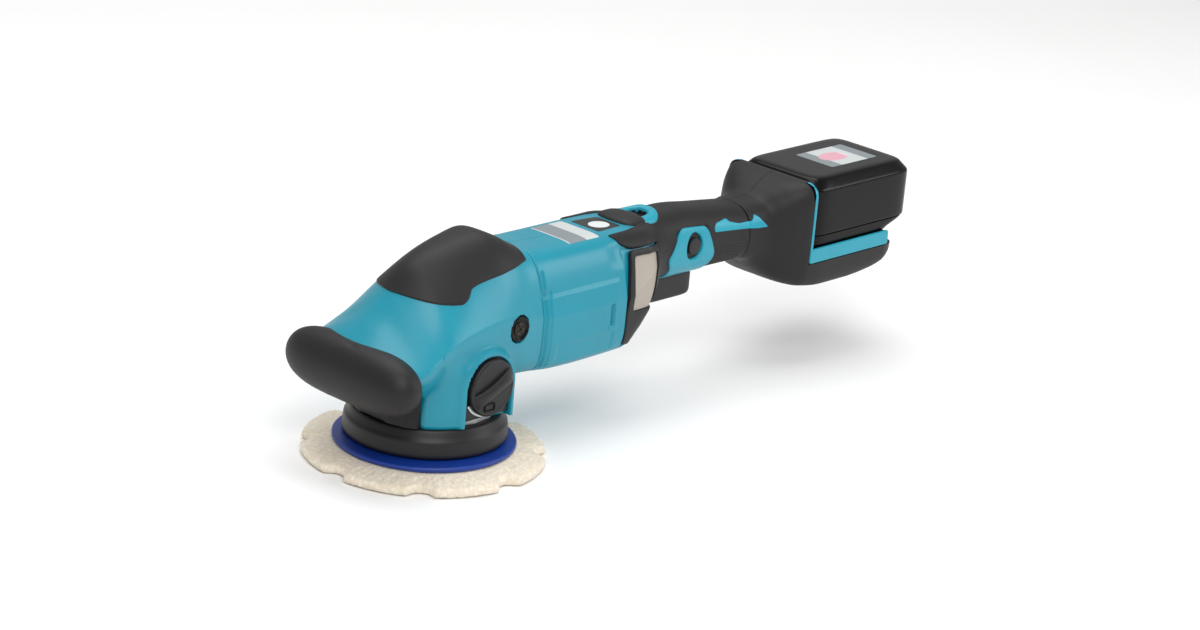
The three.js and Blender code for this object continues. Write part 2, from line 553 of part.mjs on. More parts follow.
// The cover's outer form: the long body and, below it, the round column over the gear case.
function coverForm(offset) {
  return loft(headForm, -84, SEAM_X, offset).add(rod(COLUMN_RADIUS + offset, COLUMN_BOTTOM, MOTOR_Z - 15,
    "z", 32));
}

// The bar across the nose, its section an ellipse that shrinks towards both ends.
const BAR = { x: -67.5, z: MOTOR_Z - 19, half: 56.5, deep: 18, high: 20.5 };

function barForm(offset) {
  const geometry = new THREE.SphereGeometry(1, 18, 12);
  geometry.rotateX(Math.PI / 2);
  const position = geometry.attributes.position;
  const point = new THREE.Vector3();
  for (let i = 0; i < position.count; i++) {
    point.fromBufferAttribute(position, i);
    const along = Math.sign(point.y) * Math.abs(point.y) ** 0.9;
    const across = Math.hypot(point.x, point.z);
    const squash = across > 0 ? (1 - Math.abs(point.y) ** 3.2) ** 0.42 / across : 0;
    position.setXYZ(i, point.x * squash * (BAR.deep + offset) + BAR.x, along * (BAR.half + offset),
      point.z * squash * (BAR.high + offset) + BAR.z);
  }
  return solidOf(geometry);
}

// Side view of the saddle: [x, z], with its step behind the middle of the head.
function saddleSide(by) {
  const low = [...keyed(0, MOTOR_Z - by, [[-46 - by, 29], [-31, 26], [-9 + by, 23], [3 + by, 32]]),
    [SEAM_X - 6 + by, MOTOR_Z + BODY_HIGH - 2.5 - by]];
  return prism([...low, [SEAM_X - 6 + by, FAR], [-46 - by, FAR]], -FAR, FAR, "y");
}

function saddleGrip() {
  const skin = loft(headForm, -84, SEAM_X, RIM).subtract(loft(headForm, -84, SEAM_X, GAP - SKIN));
  return skin.intersect(saddleSide(0));
}

function saddlePocket() {
  return saddleSide(GAP).subtract(loft(headForm, -84, SEAM_X, -SKIN));
}

function knobArch(grow) {
  const radius = KNOB_RADIUS + 1.5 + grow;
  return rod(radius, -FAR, -30, "y", 32).translate(KNOB_X, 0, KNOB_Z)
    .add(box([KNOB_X - radius, KNOB_X + radius], [-FAR, -30], [0, KNOB_Z]));
}

function headCover() {
  const hollow = loft(headForm, -60, SEAM_X + 1, -WALL - SKIN, 15, 20)
    .add(rod(COLUMN_RADIUS - WALL, 0, MOTOR_Z - 17, "z", 32));
  const plugs = rod(PLUG_RADIUS + GAP, -FAR, FAR, "y").translate(PLUG_X, 0, MOTOR_Z);
  return coverForm(0).subtract(hollow).subtract(saddlePocket()).subtract(barForm(GAP))
    .subtract(knobArch(0)).subtract(plugs)
    .subtract(bumperForm(GAP)).intersect(box([-70, SEAM_X - GAP], [-FAR, FAR], [COLUMN_BOTTOM, FAR]));
}

const BUMPER_TOP = 52;

// The rubber cheek under the nose, wrapped round the front of the column.
function bumperForm(offset) {
  const sector = prism([[0, 0], [-80, 62 + offset], [-80, -62 - offset]], COLUMN_BOTTOM,
    BUMPER_TOP + offset, "z");
  return tube(COLUMN_RADIUS - WALL - offset, COLUMN_RADIUS + 1.5 + offset, COLUMN_BOTTOM,
    BUMPER_TOP + offset, "z", 32)
    .intersect(sector);
}

function noseGrip() {
  return barForm(0).subtract(coverForm(GAP).intersect(box([BAR.x + 4, FAR], [-FAR, FAR], [0, FAR])));
}

const KNOB_BACK = 46; // how far the knob's back is from the middle plane
const KNOB_SHAFT = 5;

function changeKnob() {
  const disc = turned([[0, KNOB_BACK], [KNOB_RADIUS, KNOB_BACK], [KNOB_RADIUS, KNOB_FACE - 1],
    [KNOB_RADIUS - 1, KNOB_FACE], [0, KNOB_FACE]], "y", 28).rotate([180, 0, 0]);
  const bar = box([-KNOB_RADIUS + 1, KNOB_RADIUS - 1], [-KNOB_FACE - 5, -KNOB_FACE + 1], [-4, 4])
    .rotate([0, -25, 0]);
  return disc.add(bar).add(rod(KNOB_SHAFT, -KNOB_BACK - 1, -31.5, "y", 14));
}

// The plate that closes the arch behind the knob.
function knobPlate() {
  return rod(KNOB_RADIUS + 1.2, -KNOB_BACK + GAP, -KNOB_BACK + 2.4, "y", 28)
    .subtract(rod(KNOB_SHAFT + GAP, -FAR, FAR, "y", 14))
    .intersect(box([-FAR, FAR], [-FAR, FAR], [37 + GAP - KNOB_Z, FAR]));
}

function sidePlug(side) {
  const body = rod(PLUG_RADIUS, 24.6, 41, "y", 20).add(rod(PLUG_RADIUS - 2.5, 24.6, 42, "y", 12));
  const cross = box([-5, 5], [39, FAR], [-1, 1]).add(box([-1, 1], [39, FAR], [-5, 5])).rotate([0, 25, 0]);
  return body.subtract(cross).rotate(side < 0 ? [180, 0, 0] : [0, 0, 0]);
}

// ---- Body ----
const bezelOutline = keyed(BUTTON_X, BUTTON_Z, [[-20.5, -25], [6.5, -26], [17, -20], [23, -10], [18, 1],
  [13.5, 12], [-13.5, 14.5], [-22, -1.5], [-24.5, -8]]);

function filterOutline(by) {
  const [[front, rear], [low, high]] = [grown(FILTER_X, by), grown(FILTER_Z, by)];
  return [[front, low], [FILTER_X[0] + 10 + by, low], [rear, FILTER_Z[0] + 28 - by], [rear, high],
    [front, high]];
}

const sideCut = (outline, side) =>
  side < 0 ? prism(outline, -FAR, -10, "y") : prism(outline, 10, FAR, "y");
const dialSlot = (room) => box(grown([DIAL_X - DIAL_RADIUS, DIAL_X + DIAL_RADIUS], room),
  grown([-DIAL_HALF, DIAL_HALF], room), [DIAL_Z - 16, FAR]);
const triggerSlot = () => box(grown(TRIGGER_X, 0.8), grown([-TRIGGER_HALF, TRIGGER_HALF], 0.8),
  [0, TRIGGER_Z[1] + 8]);

function housingCore() {
  const outer = loft(housingForm, SEAM_X, COLLAR_X, 0)
    .add(loft(housingForm, COLLAR_X - 1, HANDLE_END, -SKIN - GAP));
  const hollow = loft(housingForm, SEAM_X - 1, HANDLE_END + 1, -WALL - SKIN - GAP, 20, 16);
  return outer.subtract(hollow);
}

function housingHalf(side) {
  const buttonHole = rod(BUTTON_RADIUS + GAP, -FAR, FAR, "y", 24).translate(BUTTON_X, 0, BUTTON_Z);
  const pocket = sideCut(filterOutline(GAP), side)
    .subtract(loft(housingForm, SEAM_X, COLLAR_X + 20, -SKIN));
  const vent = sideCut(roundedRect(grown(WINDOW_X, -2), grown(WINDOW_Z, -2), 2, 1), side);
  const whole = housingCore().subtract(dialSlot(1)).subtract(triggerSlot()).subtract(buttonHole)
    .subtract(pocket).subtract(vent);
  return side < 0 ? leftHalf(whole) : rightHalf(whole);
}

function gripHalf(side) {
  const skin = loft(housingForm, COLLAR_X + GAP, HANDLE_END, 0)
    .subtract(loft(housingForm, COLLAR_X - 1, HANDLE_END + 1, -SKIN));
  const middle = BUTTON_Z - 6;
  const roomy = bezelOutline.map(([x, z]) =>
    [BUTTON_X + (x - BUTTON_X) * 1.02, middle + (z - middle) * 1.02]);
  const whole = skin.subtract(prism(roomy, -FAR, FAR, "y")).subtract(dialSlot(3)).subtract(triggerSlot());
  return side < 0 ? leftHalf(whole) : rightHalf(whole);
}

// The plate round the lock button, flush in a window of the grip.
function switchBezel(side) {
  const skin = loft(housingForm, COLLAR_X + GAP, HANDLE_END, RIM)
    .subtract(loft(housingForm, COLLAR_X - 1, HANDLE_END + 1, -SKIN));
  const plate = skin.intersect(prism(bezelOutline, -FAR, FAR, "y"))
    .intersect(side < 0 ? box([0, FAR], [-FAR, -TRIGGER_HALF - 1.2], [0, FAR]) : box([0, FAR],
    [TRIGGER_HALF + 1.2, FAR], [0, FAR]));
  return plate.subtract(rod(BUTTON_RADIUS + 1, -FAR, FAR, "y", 24).translate(BUTTON_X, 0, BUTTON_Z));
}

function filterFrame(side) {
  const skin = loft(housingForm, SEAM_X, COLLAR_X + 20, RIM)
    .subtract(loft(housingForm, SEAM_X, COLLAR_X + 20, GAP - SKIN));
  const window = sideCut(roundedRect(WINDOW_X, WINDOW_Z, 1, 1), side);
  return skin.intersect(sideCut(filterOutline(0), side)).subtract(window);
}

function filterMesh(side) {
  const skin = loft(housingForm, SEAM_X, COLLAR_X + 20, -0.4)
    .subtract(loft(housingForm, SEAM_X, COLLAR_X + 20, -1.5));
  const window = roundedRect(grown(WINDOW_X, -GAP), grown(WINDOW_Z, -GAP), 1, 1);
  return skin.intersect(sideCut(window, side));
}

function trigger() {
  const outline = roundedRect(TRIGGER_X, TRIGGER_Z, 4);
  const body = prism(outline, -TRIGGER_HALF, TRIGGER_HALF, "y");
  return body.subtract(box(grown(TRIGGER_X, -3), grown([-TRIGGER_HALF, TRIGGER_HALF], -2.5),
    [TRIGGER_Z[0] + 4, FAR]));
}

function lockButton() {
  return rod(BUTTON_RADIUS, -23, 23, "y", 24);
}

function speedDial() {
  const knurl = gearOutline(14, DIAL_RADIUS, DIAL_RADIUS - 0.9, 0.05, 0.1);
  return prism(knurl, -DIAL_HALF, DIAL_HALF, "y").subtract(rod(2.3, -FAR, FAR, "y", 16));
}

function dialPost() {
  return rod(2, -DIAL_HALF - 6, DIAL_HALF + 6, "y", 16);
}

function switchBody() {
  const [rear, low] = [TRIGGER_X[1], TRIGGER_Z[1]];
  const body = box([rear - 9, rear + 23], [-9, 9], [low + 7, low + 29]);
  const plunger = box([rear - 8, rear - 3.4], [-4, 4], [low + 4, low + 8]);
  const tabs = [-4, 4].map((y) => box([rear + 22, rear + 29], [y - 2, y + 2], [low + 12, low + 20]));
  return tabs.reduce((made, tab) => made.add(tab), body.add(plunger));
}

function controller() {
  const front = REAR_BEARING_X[1] + 7;
  const tray = box([front, front + 12], [-20, 20], [MOTOR_Z - 15, MOTOR_Z + 23]);
  const fins = Array.from({ length: 4 }, (_, i) => MOTOR_Z - 12 + 9 * i)
    .map((z) => box([front - 2, front + 0.5], [-18, 18], [z, z + 3]));
  return fins.reduce((made, fin) => made.add(fin), tray);
}

// ---- Tail and battery ----
const CHANNEL_HALF = BATTERY_HALF - 13.5;
const LIP_HALF = CHANNEL_HALF - 3.5;
const CHANNEL_FLOOR = PLATFORM_TOP + 2;
const LIP_BOTTOM = BED_TOP - 2.8;

function platformForm(offset) {
  const length = [DOCK_X - 30, PLATFORM_END + offset];
  const width = grown([-BAY_HALF, BAY_HALF], offset);
  const low = PLATFORM_BOTTOM - offset;
  const bar = prism(roundedRect(width, [low, PLATFORM_TOP + offset], 9 + offset, 3),
    DOCK_X - 12, PLATFORM_END + offset, "x");
  const side = prism(roundedRect(length, [low, PLATFORM_TOP + 43], 12, 4), -FAR, FAR, "y");
  const plan = prism(roundedRect(length, width, 14, 4), 0, FAR, "z");
  return bar.intersect(side).intersect(plan);
}

function tailShell(side) {
  const flare = loft(tailForm, HANDLE_END + GAP, DOCK_X, 0, 6, 24)
    .subtract(loft(tailForm, HANDLE_END - 1, DOCK_X - WALL, -WALL, 11, 18));
  const platform = platformForm(0).subtract(platformForm(-WALL));
  const passage = box([DOCK_X - 20, DOCK_X + 2], grown([-BAY_HALF, BAY_HALF], -11),
    [PLATFORM_BOTTOM + 2.5, PLATFORM_TOP - WALL]);
  const wires = box([DOCK_X - 6, DOCK_X + 1], [-13.5, 13.5], [PLATFORM_TOP + 6, PLATFORM_TOP + 20]);
  const whole = flare.add(platform).subtract(passage).subtract(wires)
    .subtract(box([DOCK_X, FAR + 100], [-FAR, FAR], [PLATFORM_TOP, FAR]));
  return side < 0 ? leftHalf(whole) : rightHalf(whole);
}

function railBed() {
  const wall = prism(roundedRect([-BED_HALF, BED_HALF], [PLATFORM_TOP + GAP, DOCK_TOP - 0.6], 8, 5),
    DOCK_X + GAP, DOCK_X + 3.3, "x");
  const bed = prism(roundedRect([DOCK_X + GAP, BED_END], [-BED_HALF, BED_HALF], 4, 4),
    PLATFORM_TOP + GAP, BED_TOP, "z");
  const channel = box([DOCK_X + 3.3, FAR + 100], [-CHANNEL_HALF, CHANNEL_HALF], [CHANNEL_FLOOR, LIP_BOTTOM])
    .add(box([DOCK_X + 3.3, FAR + 100], [-LIP_HALF, LIP_HALF], [CHANNEL_FLOOR, FAR]));
  const port = box([DOCK_X, DOCK_X + 10], [-14, 14], [CHANNEL_FLOOR + 1.4, BED_TOP + 5.5]);
  return wall.add(bed).subtract(channel).subtract(port);
}

function terminalBlock() {
  const low = BED_TOP - 2.7;
  const block = box([DOCK_X - 3, DOCK_X + 8], [-13, 13], [low, low + 7.6])
    .subtract(box([DOCK_X + 3.2, 2 * FAR], [-FAR, FAR], [low + 2.2, FAR]));
  const blades = [-9, 9]
    .map((y) => box([DOCK_X + 4, DOCK_X + 22], [y - 0.5, y + 0.5], [low + 0.4, low + 2.2]));
  return blades.reduce((made, blade) => made.add(blade), block);
}

const BATTERY_X = [DOCK_X + 3.6, DOCK_X + 3.6 + BATTERY_LENGTH];
const BATTERY_BOTTOM = BED_TOP + GAP;
const BATTERY_SPLIT = BED_TOP + 8.5;

function batteryCase() {
  const width = [-BATTERY_HALF, BATTERY_HALF];
  const height = [BATTERY_SPLIT - 20, BATTERY_TOP];
  const plan = prism(roundedRect(BATTERY_X, width, 7, 5), BATTERY_SPLIT, BATTERY_TOP, "z");
  const side = prism(roundedRect(BATTERY_X, height, 6, 4), -FAR, FAR, "y");
  const front = prism(roundedRect(width, height, 6, 4), 0, 2 * FAR, "x");
  const hollow = box(grown(BATTERY_X, -BATTERY_WALL), grown(width, -BATTERY_WALL),
    [BATTERY_SPLIT - 1, BATTERY_TOP - BATTERY_WALL]);
  return plan.intersect(side).intersect(front).subtract(hollow);
}

const TONGUE_X = [BED_END + 2, BATTERY_X[1] - 3];

function batteryBase() {
  const width = [-BATTERY_HALF, BATTERY_HALF];
  const tray = prism(roundedRect(BATTERY_X, width, 7, 5), BATTERY_BOTTOM, BATTERY_SPLIT - GAP, "z")
    .subtract(box(grown(BATTERY_X, -BATTERY_WALL), grown(width, -BATTERY_WALL),
      [BATTERY_BOTTOM + 2.2, FAR]));
  const railHead = box([DOCK_X + 9, BED_END - 1], grown([-CHANNEL_HALF, CHANNEL_HALF], -GAP - 0.2),
    [CHANNEL_FLOOR + GAP, LIP_BOTTOM - GAP]);
  const railStem = box([DOCK_X + 9, BED_END + 3], grown([-LIP_HALF, LIP_HALF], -GAP - 0.2),
    [CHANNEL_FLOOR + GAP, BATTERY_BOTTOM + 1]);
  const tongueLow = CHANNEL_FLOOR + 0.5;
  const tongueOutline = [[TONGUE_X[0], tongueLow], [TONGUE_X[1] - 11, tongueLow],
    [TONGUE_X[1], BATTERY_BOTTOM + 1], [TONGUE_X[0], BATTERY_BOTTOM + 1]];
  const tongue = prism(tongueOutline, -BATTERY_HALF + 7.5, BATTERY_HALF - 7.5, "y");
  const bladeSlots = [-9, 9]
    .map((y) => box([DOCK_X, DOCK_X + 24], [y - 1.2, y + 1.2], [BED_TOP - 3.5, BATTERY_BOTTOM]));
  const catchWidth = grown([-RELEASE_HALF, RELEASE_HALF], GAP);
  const catchSlot = box(grown(RELEASE_X, 4 * GAP), catchWidth, [0, RELEASE_TOP]);
  const thumbRoom = box([TONGUE_X[0], 2 * FAR], catchWidth, [0, BED_TOP - 2.5]);
  return [...bladeSlots, catchSlot, thumbRoom]
    .reduce((made, cut) => made.subtract(cut), tray.add(railHead).add(railStem).add(tongue));
}

// The release: a bar that slides up in the underside of the pack, its rear end the thumb button.
const RELEASE_X = [BED_END - 16, TONGUE_X[1] - 7];
const RELEASE_HALF = 12;
const RELEASE_THICK = 3;
const RELEASE_TOP = CHANNEL_FLOOR + 2 * GAP + RELEASE_THICK + RELEASE_TRAVEL + GAP;

function batteryRelease() {
  const low = CHANNEL_FLOOR + 2 * GAP;
  return box(RELEASE_X, [-RELEASE_HALF, RELEASE_HALF], [low, low + RELEASE_THICK])
    .add(box([RELEASE_X[1] - 5, RELEASE_X[1]], [-RELEASE_HALF, RELEASE_HALF], [low - 0.2,
    low + RELEASE_THICK]));
}

function cellPack() {
  const step = 2 * CELL_RADIUS + 0.15;
  const count = Math.floor((BATTERY_LENGTH - 10) / step);
  const low = BATTERY_BOTTOM + BATTERY_WALL + 3 + CELL_RADIUS;
  const high = low + 2 * CELL_RADIUS + 0.4;
  const half = BATTERY_HALF - 6.5;
  const rowX = (i) => BATTERY_X[0] + 5 + CELL_RADIUS + i * step;
  const cells = [low, high].flatMap((z) => Array.from({ length: count }, (_, i) =>
    rod(CELL_RADIUS, -half, half, "y", 10).translate(rowX(i), 0, z)));
  const plate = (y) => box([rowX(0) - 6, rowX(count - 1) + 6], y, [low - 6, high + 6]);
  return cells.reduce((made, cell) => made.add(cell),
    plate([-half - 1.4, -half + 3]).add(plate([half - 3, half + 1.4])));
}

// ---- Materials ----
const material = (color, roughness, metalness = 0) =>
  new THREE.MeshStandardMaterial({ color, roughness, metalness });
const teal = material(0x0e9db0, 0.42);
const charcoal = material(0x3a3a3c, 0.6);
const rubber = material(0x2f2f31, 0.75);
const blackPlastic = material(0x1b1b1d, 0.45);
const felt = material(0xefe6d3, 0.95);
const blue = material(0x1d4fa6, 0.5);
const mesh = material(0xb8ada2, 0.8);
const castAlloy = material(0xa9abad, 0.5, 0.9);
const steel = material(0x9a9c9f, 0.3, 1);
const copper = material(0xb8713d, 0.35, 0.9);
const cellWrap = material(0x3f7f6a, 0.5);

// ---- Assembly ----
const polisher = new THREE.Group();

function part(name, solid, finish, [x, y, z] = [0, 0, 0], parent = polisher) {
  const made = new THREE.Mesh(geometryOf(solid), finish);
  made.name = name;
  made.position.set(x, y, z);
  parent.add(made);
  return made;
}

// The drive is turned as one: the pad rolls back in the ring gear, and the motor runs ahead.
const driveAxis = new THREE.Group();
driveAxis.rotation.z = THREE.MathUtils.degToRad(REST_TURN);
polisher.add(driveAxis);
const padAxis = new THREE.Group();
padAxis.position.x = -ORBIT;
padAxis.rotation.z = (-driveAxis.rotation.z * RING_TEETH) / PAD_TEETH;
driveAxis.add(padAxis);
const motorAxis = new THREE.Group();
motorAxis.position.z = MOTOR_Z;
polisher.add(motorAxis);
const rotorAxis = new THREE.Group();
rotorAxis.rotation.x = (driveAxis.rotation.z * WHEEL_TEETH) / PINION_TEETH;
motorAxis.add(rotorAxis);

const atOrigin = [0, 0, 0];
part("polishing_pad", polishingPad(), felt, atOrigin, padAxis);
part("backing_pad", backingPad(), blue, atOrigin, padAxis);
part("pad_bolt", padBolt(), steel, atOrigin, padAxis);
part("pad_spindle", padSpindle(), steel, atOrigin, padAxis);
part("pad_gear", padGear(), steel, atOrigin, padAxis);
part("pad_bearing", bearing(PAD_BEARING, PAD_BEARING_Z), steel, [-ORBIT, 0, 0], driveAxis);

part("drive_spindle", driveSpindle(), steel, atOrigin, driveAxis);
part("counterweight", counterweight(), steel, atOrigin, driveAxis);
part("bevel_wheel", bevelWheel(), steel, atOrigin, driveAxis);
part("spindle_lower_bearing", bearing([SPINDLE_RADIUS + GAP, LOWER_BEARING], LOWER_BEARING_Z), steel);
part("spindle_upper_bearing", bearing([SPINDLE_NECK + GAP, NECK_BEARING], UPPER_BEARING_Z), steel);
part("ring_gear", ringGear(), steel);
part("skirt", skirt(), charcoal);
part("gear_case", gearCase(), castAlloy);
part("head_cover", headCover(), teal);
part("saddle_grip", saddleGrip(), rubber);
part("nose_grip", noseGrip(), rubber);
part("front_bumper", bumperForm(0), rubber);
part("knob_plate", knobPlate(), blackPlastic, [KNOB_X, 0, KNOB_Z]);
part("change_knob", changeKnob(), blackPlastic, [KNOB_X, 0, KNOB_Z]);
part("side_plug_left", sidePlug(-1), blackPlastic, [PLUG_X, 0, MOTOR_Z]);
part("side_plug_right", sidePlug(1), blackPlastic, [PLUG_X, 0, MOTOR_Z]);

part("motor_pinion", motorPinion(), steel, atOrigin, rotorAxis);
part("rotor_shaft", rotorShaft(), steel, atOrigin, rotorAxis);
part("rotor_core", rotorCore(), castAlloy, atOrigin, rotorAxis);
part("motor_fan", motorFan(), blackPlastic, atOrigin, rotorAxis);
part("motor_front_bearing", bearing(FRONT_BEARING, FRONT_BEARING_X, "x"), steel, atOrigin, motorAxis);
part("motor_rear_bearing", bearing(REAR_BEARING, REAR_BEARING_X, "x"), steel, atOrigin, motorAxis);
part("stator_core", statorCore(), castAlloy, atOrigin, motorAxis);
part("stator_winding_front", winding([STATOR_X - 6, STATOR_X - GAP]), copper, atOrigin, motorAxis);
part("stator_winding_rear", winding([STATOR_END + GAP, STATOR_END + 6]), copper, atOrigin, motorAxis);
part("rear_bearing_plate", rearBearingPlate(), blackPlastic, atOrigin, motorAxis);
part("controller", controller(), castAlloy);

for (const [side, name] of [[-1, "left"], [1, "right"]]) {
  part(`housing_${name}`, housingHalf(side), teal);
  part(`grip_${name}`, gripHalf(side), rubber);
  part(`switch_bezel_${name}`, switchBezel(side), teal);
  part(`filter_frame_${name}`, filterFrame(side), charcoal);
  part(`filter_mesh_${name}`, filterMesh(side), mesh);
  part(`tail_shell_${name}`, tailShell(side), blackPlastic);
}
part("trigger", trigger(), charcoal);
part("switch_body", switchBody(), blackPlastic);
part("lock_button", lockButton(), charcoal, [BUTTON_X, 0, BUTTON_Z]);
part("speed_dial", speedDial(), blackPlastic, [DIAL_X, 0, DIAL_Z]);
part("dial_post", dialPost(), steel, [DIAL_X, 0, DIAL_Z]);
part("rail_bed", railBed(), teal);
part("terminal_block", terminalBlock(), blackPlastic);

part("battery_case", batteryCase(), blackPlastic);
part("battery_base", batteryBase(), blackPlastic);
part("battery_release", batteryRelease(), charcoal);
part("cell_pack", cellPack(), cellWrap);

export default polisher;
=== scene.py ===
# Looks of a cordless dual action polisher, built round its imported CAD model.
import math

import bmesh
import bpy
import numpy as np
from mathutils import Matrix, Vector


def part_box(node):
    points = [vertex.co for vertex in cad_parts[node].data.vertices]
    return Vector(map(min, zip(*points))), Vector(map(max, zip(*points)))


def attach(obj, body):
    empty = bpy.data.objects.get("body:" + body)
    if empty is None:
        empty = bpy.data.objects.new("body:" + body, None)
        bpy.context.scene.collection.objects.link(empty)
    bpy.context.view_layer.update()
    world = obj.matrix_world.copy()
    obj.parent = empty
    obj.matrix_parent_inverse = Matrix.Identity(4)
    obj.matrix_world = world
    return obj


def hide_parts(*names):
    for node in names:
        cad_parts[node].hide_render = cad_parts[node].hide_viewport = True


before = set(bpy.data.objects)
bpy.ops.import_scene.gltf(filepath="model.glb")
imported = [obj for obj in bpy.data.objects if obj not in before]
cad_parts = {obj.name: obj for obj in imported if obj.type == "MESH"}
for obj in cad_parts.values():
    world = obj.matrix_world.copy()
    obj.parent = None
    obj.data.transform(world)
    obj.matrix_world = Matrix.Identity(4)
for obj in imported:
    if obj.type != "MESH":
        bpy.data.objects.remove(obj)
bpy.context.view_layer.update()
mm = 0.001
turn = 2 * math.pi


def boxOf(node):  # lowest and highest corner of a CAD node, in millimetres
    low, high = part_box(node)
    return np.array(low) / mm, np.array(high) / mm


# Places taken from the frame.
gap = 0.3
headLow, headHigh = boxOf("head_cover")
seamX = headHigh[0] + gap  # head cover to motor housing
columnBottom = headLow[2]
collarX = boxOf("grip_left")[0][0] - gap  # motor housing to handle
handleEnd = boxOf("grip_left")[1][0]
dockX = boxOf("rail_bed")[0][0] - gap  # face of the tail that the battery slides up to
motorZ = boxOf("stator_core")[0][2] / 2 + boxOf("stator_core")[1][2] / 2
knobLow, knobHigh = boxOf("knob_plate")
knobX = (knobLow[0] + knobHigh[0]) / 2
knobRadius = (knobHigh[0] - knobLow[0]) / 2 - 1.2
knobZ = knobHigh[2] - knobRadius - 1.2
print("frame loaded: seam", round(seamX, 1), "collar", round(collarX, 1), "dock", round(dockX, 1))


# Smooth curve through [x, value] keys that never overshoots: cubic pieces whose slopes at the keys
# are the harmonic mean of the slopes on both sides.
def through(keys, x):
    keyX, value = np.array(keys, float).T
    slope = np.diff(value) / np.diff(keyX)
    product = slope[:-1] * slope[1:]
    total = np.where(product > 0, slope[:-1] + slope[1:], 1)
    inner = np.where(product > 0, 2 * product / total, 0)
    tangent = np.concatenate([slope[:1], inner, slope[-1:]])
    x = np.clip(x, keyX[0], keyX[-1])
    i = np.clip(np.searchsorted(keyX, x, side="right") - 1, 0, len(keyX) - 2)
    span = keyX[i + 1] - keyX[i]
    t = (x - keyX[i]) / span
    return ((2 * t ** 3 - 3 * t ** 2 + 1) * value[i] + (t ** 3 - 2 * t ** 2 + t) * span * tangent[i]
            + (3 * t ** 2 - 2 * t ** 3) * value[i + 1] + (t ** 3 - t ** 2) * span * tangent[i + 1])


def keyed(x0, value0, keys):  # keys measured from a place and a level
    return [[x0 + x, value0 + value] for x, value in keys]


housingForm = {
    "top": keyed(seamX, motorZ, [[0, 43], [17, 41.5], [77, 41]])
    + keyed(collarX, motorZ, [[0, 40], [20, 42], [34, 42], [66, 38.5]]) + [[handleEnd, motorZ + 34]],
    "bottom": keyed(seamX, motorZ, [[0, -40], [37, -41]])
    + keyed(collarX, motorZ, [[-34, -40], [-24, -31], [-4, -9], [10, -6]]) + [[handleEnd, motorZ - 7]],
    "half": keyed(seamX, 0, [[0, 38.5], [37, 39]])
    + keyed(collarX, 0, [[-16, 39], [-4, 34], [6, 26], [20, 22.5]]) + [[handleEnd, 21.5]],
    "square": keyed(seamX, 0, [[0, 4.5], [17, 5.5]])
    + keyed(collarX, 0, [[-16, 5.5], [0, 3.4], [20, 2.6]]) + [[handleEnd, 2.5]],
    "lean": [[seamX, 0.28]] + keyed(collarX, 0, [[-16, 0.25], [6, 0.1]]) + [[handleEnd, 0.05]],
}
tailForm = {
    "top": keyed(handleEnd, motorZ, [[0, 34], [17, 35.5], [27, 41], [35, 45.5], [44.5, 48]]),
    "bottom": keyed(handleEnd, motorZ, [[0, -7], [9, -9.5], [18, -16.5], [28, -23.5], [37, -27.2],
                                        [44.5, -28.8]]),
    "half": keyed(handleEnd, 0, [[0, 21.5], [17, 24], [27, 31], [35, 36.5], [44.5, 40.5]]),
    "square": keyed(handleEnd, 0, [[0, 2.5], [17, 3], [32, 5], [44.5, 7]]),
    "lean": [[handleEnd, 0], [dockX, 0]],
}
headForm = {
    "top": keyed(0, motorZ, [[-84, -16], [-74, -3], [-62, 7.5], [-50, 17.5], [-40, 27.5], [-23, 44],
                             [-5, 51.5], [15, 56], [27, 57.5], [40, 53.5], [54, 46]])
    + [[seamX, motorZ + 43]],
    "bottom": keyed(0, motorZ, [[-84, -21], [-70, -27], [-50, -35], [-36, -38], [30, -39]])
    + [[seamX, motorZ - 40]],
    "half": [[-84, 42], [-70, 49], [-50, 49.5], [-30, 46.5], [0, 44], [30, 42], [seamX, 38.5]],
    "square": [[-84, 2.4], [-50, 2.2], [-20, 2.4], [20, 2.8], [50, 4], [seamX, 4.5]],
    "lean": [[-84, 0.15], [-70, 0.35], [-50, 0.58], [-30, 0.58], [0, 0.48], [30, 0.4], [seamX, 0.28]],
}


def formAt(form, x):
    return [through(form[key], x) for key in ("top", "bottom", "half", "square", "lean")]


# Superellipse section: for a direction the radius is (|cos|^n + |sin|^n)^(-1/n), stretched to half the
# width and half the height; the upper half narrows by lean, and offset grows it all round.
def sectionPoint(form, x, angle, offset=0.0):
    top, bottom, half, square, lean = formAt(form, x)
    reach = (np.abs(np.cos(angle)) ** square + np.abs(np.sin(angle)) ** square) ** (-1 / square)
    rise = reach * np.sin(angle)
    y = (half * (1 - lean * np.maximum(0, rise)) + offset) * reach * np.cos(angle)
    z = (top + bottom) / 2 + ((top - bottom) / 2 + offset) * rise
    return np.stack(np.broadcast_arrays(x, y, z), -1)


# Half-width of a form at a height: the same superellipse solved for y.
def sideReach(form, x, z):
    top, bottom, half, square, lean = formAt(form, x)
    rise = np.clip((z - (top + bottom) / 2) / ((top - bottom) / 2), -0.999, 0.999)
    return half * (1 - lean * np.maximum(0, rise)) * (1 - np.abs(rise) ** square) ** (1 / square)


# Height of a form's upper surface over a point, found by halving an interval of z thirty times.
def topReach(form, x, y):
    top, bottom = formAt(form, x)[:2]
    low, high = (top + bottom) / 2 + 0 * y, top + 0 * y
    for _ in range(30):
        middle = (low + high) / 2
        inside = sideReach(form, x, middle) > np.abs(y)
        low, high = np.where(inside, middle, low), np.where(inside, high, middle)
    return low


def ramp(value, edge, soft):  # smooth step from 0 to 1, centred on an edge
    t = np.clip((value - edge) / soft + 0.5, 0, 1)
    return t * t * (3 - 2 * t)


def band(value, low, high, soft):
    return ramp(value, low, soft) * (1 - ramp(value, high, soft))


def spaced(start, end, step):
    return np.linspace(start, end, max(2, round(abs(end - start) / step) + 1))


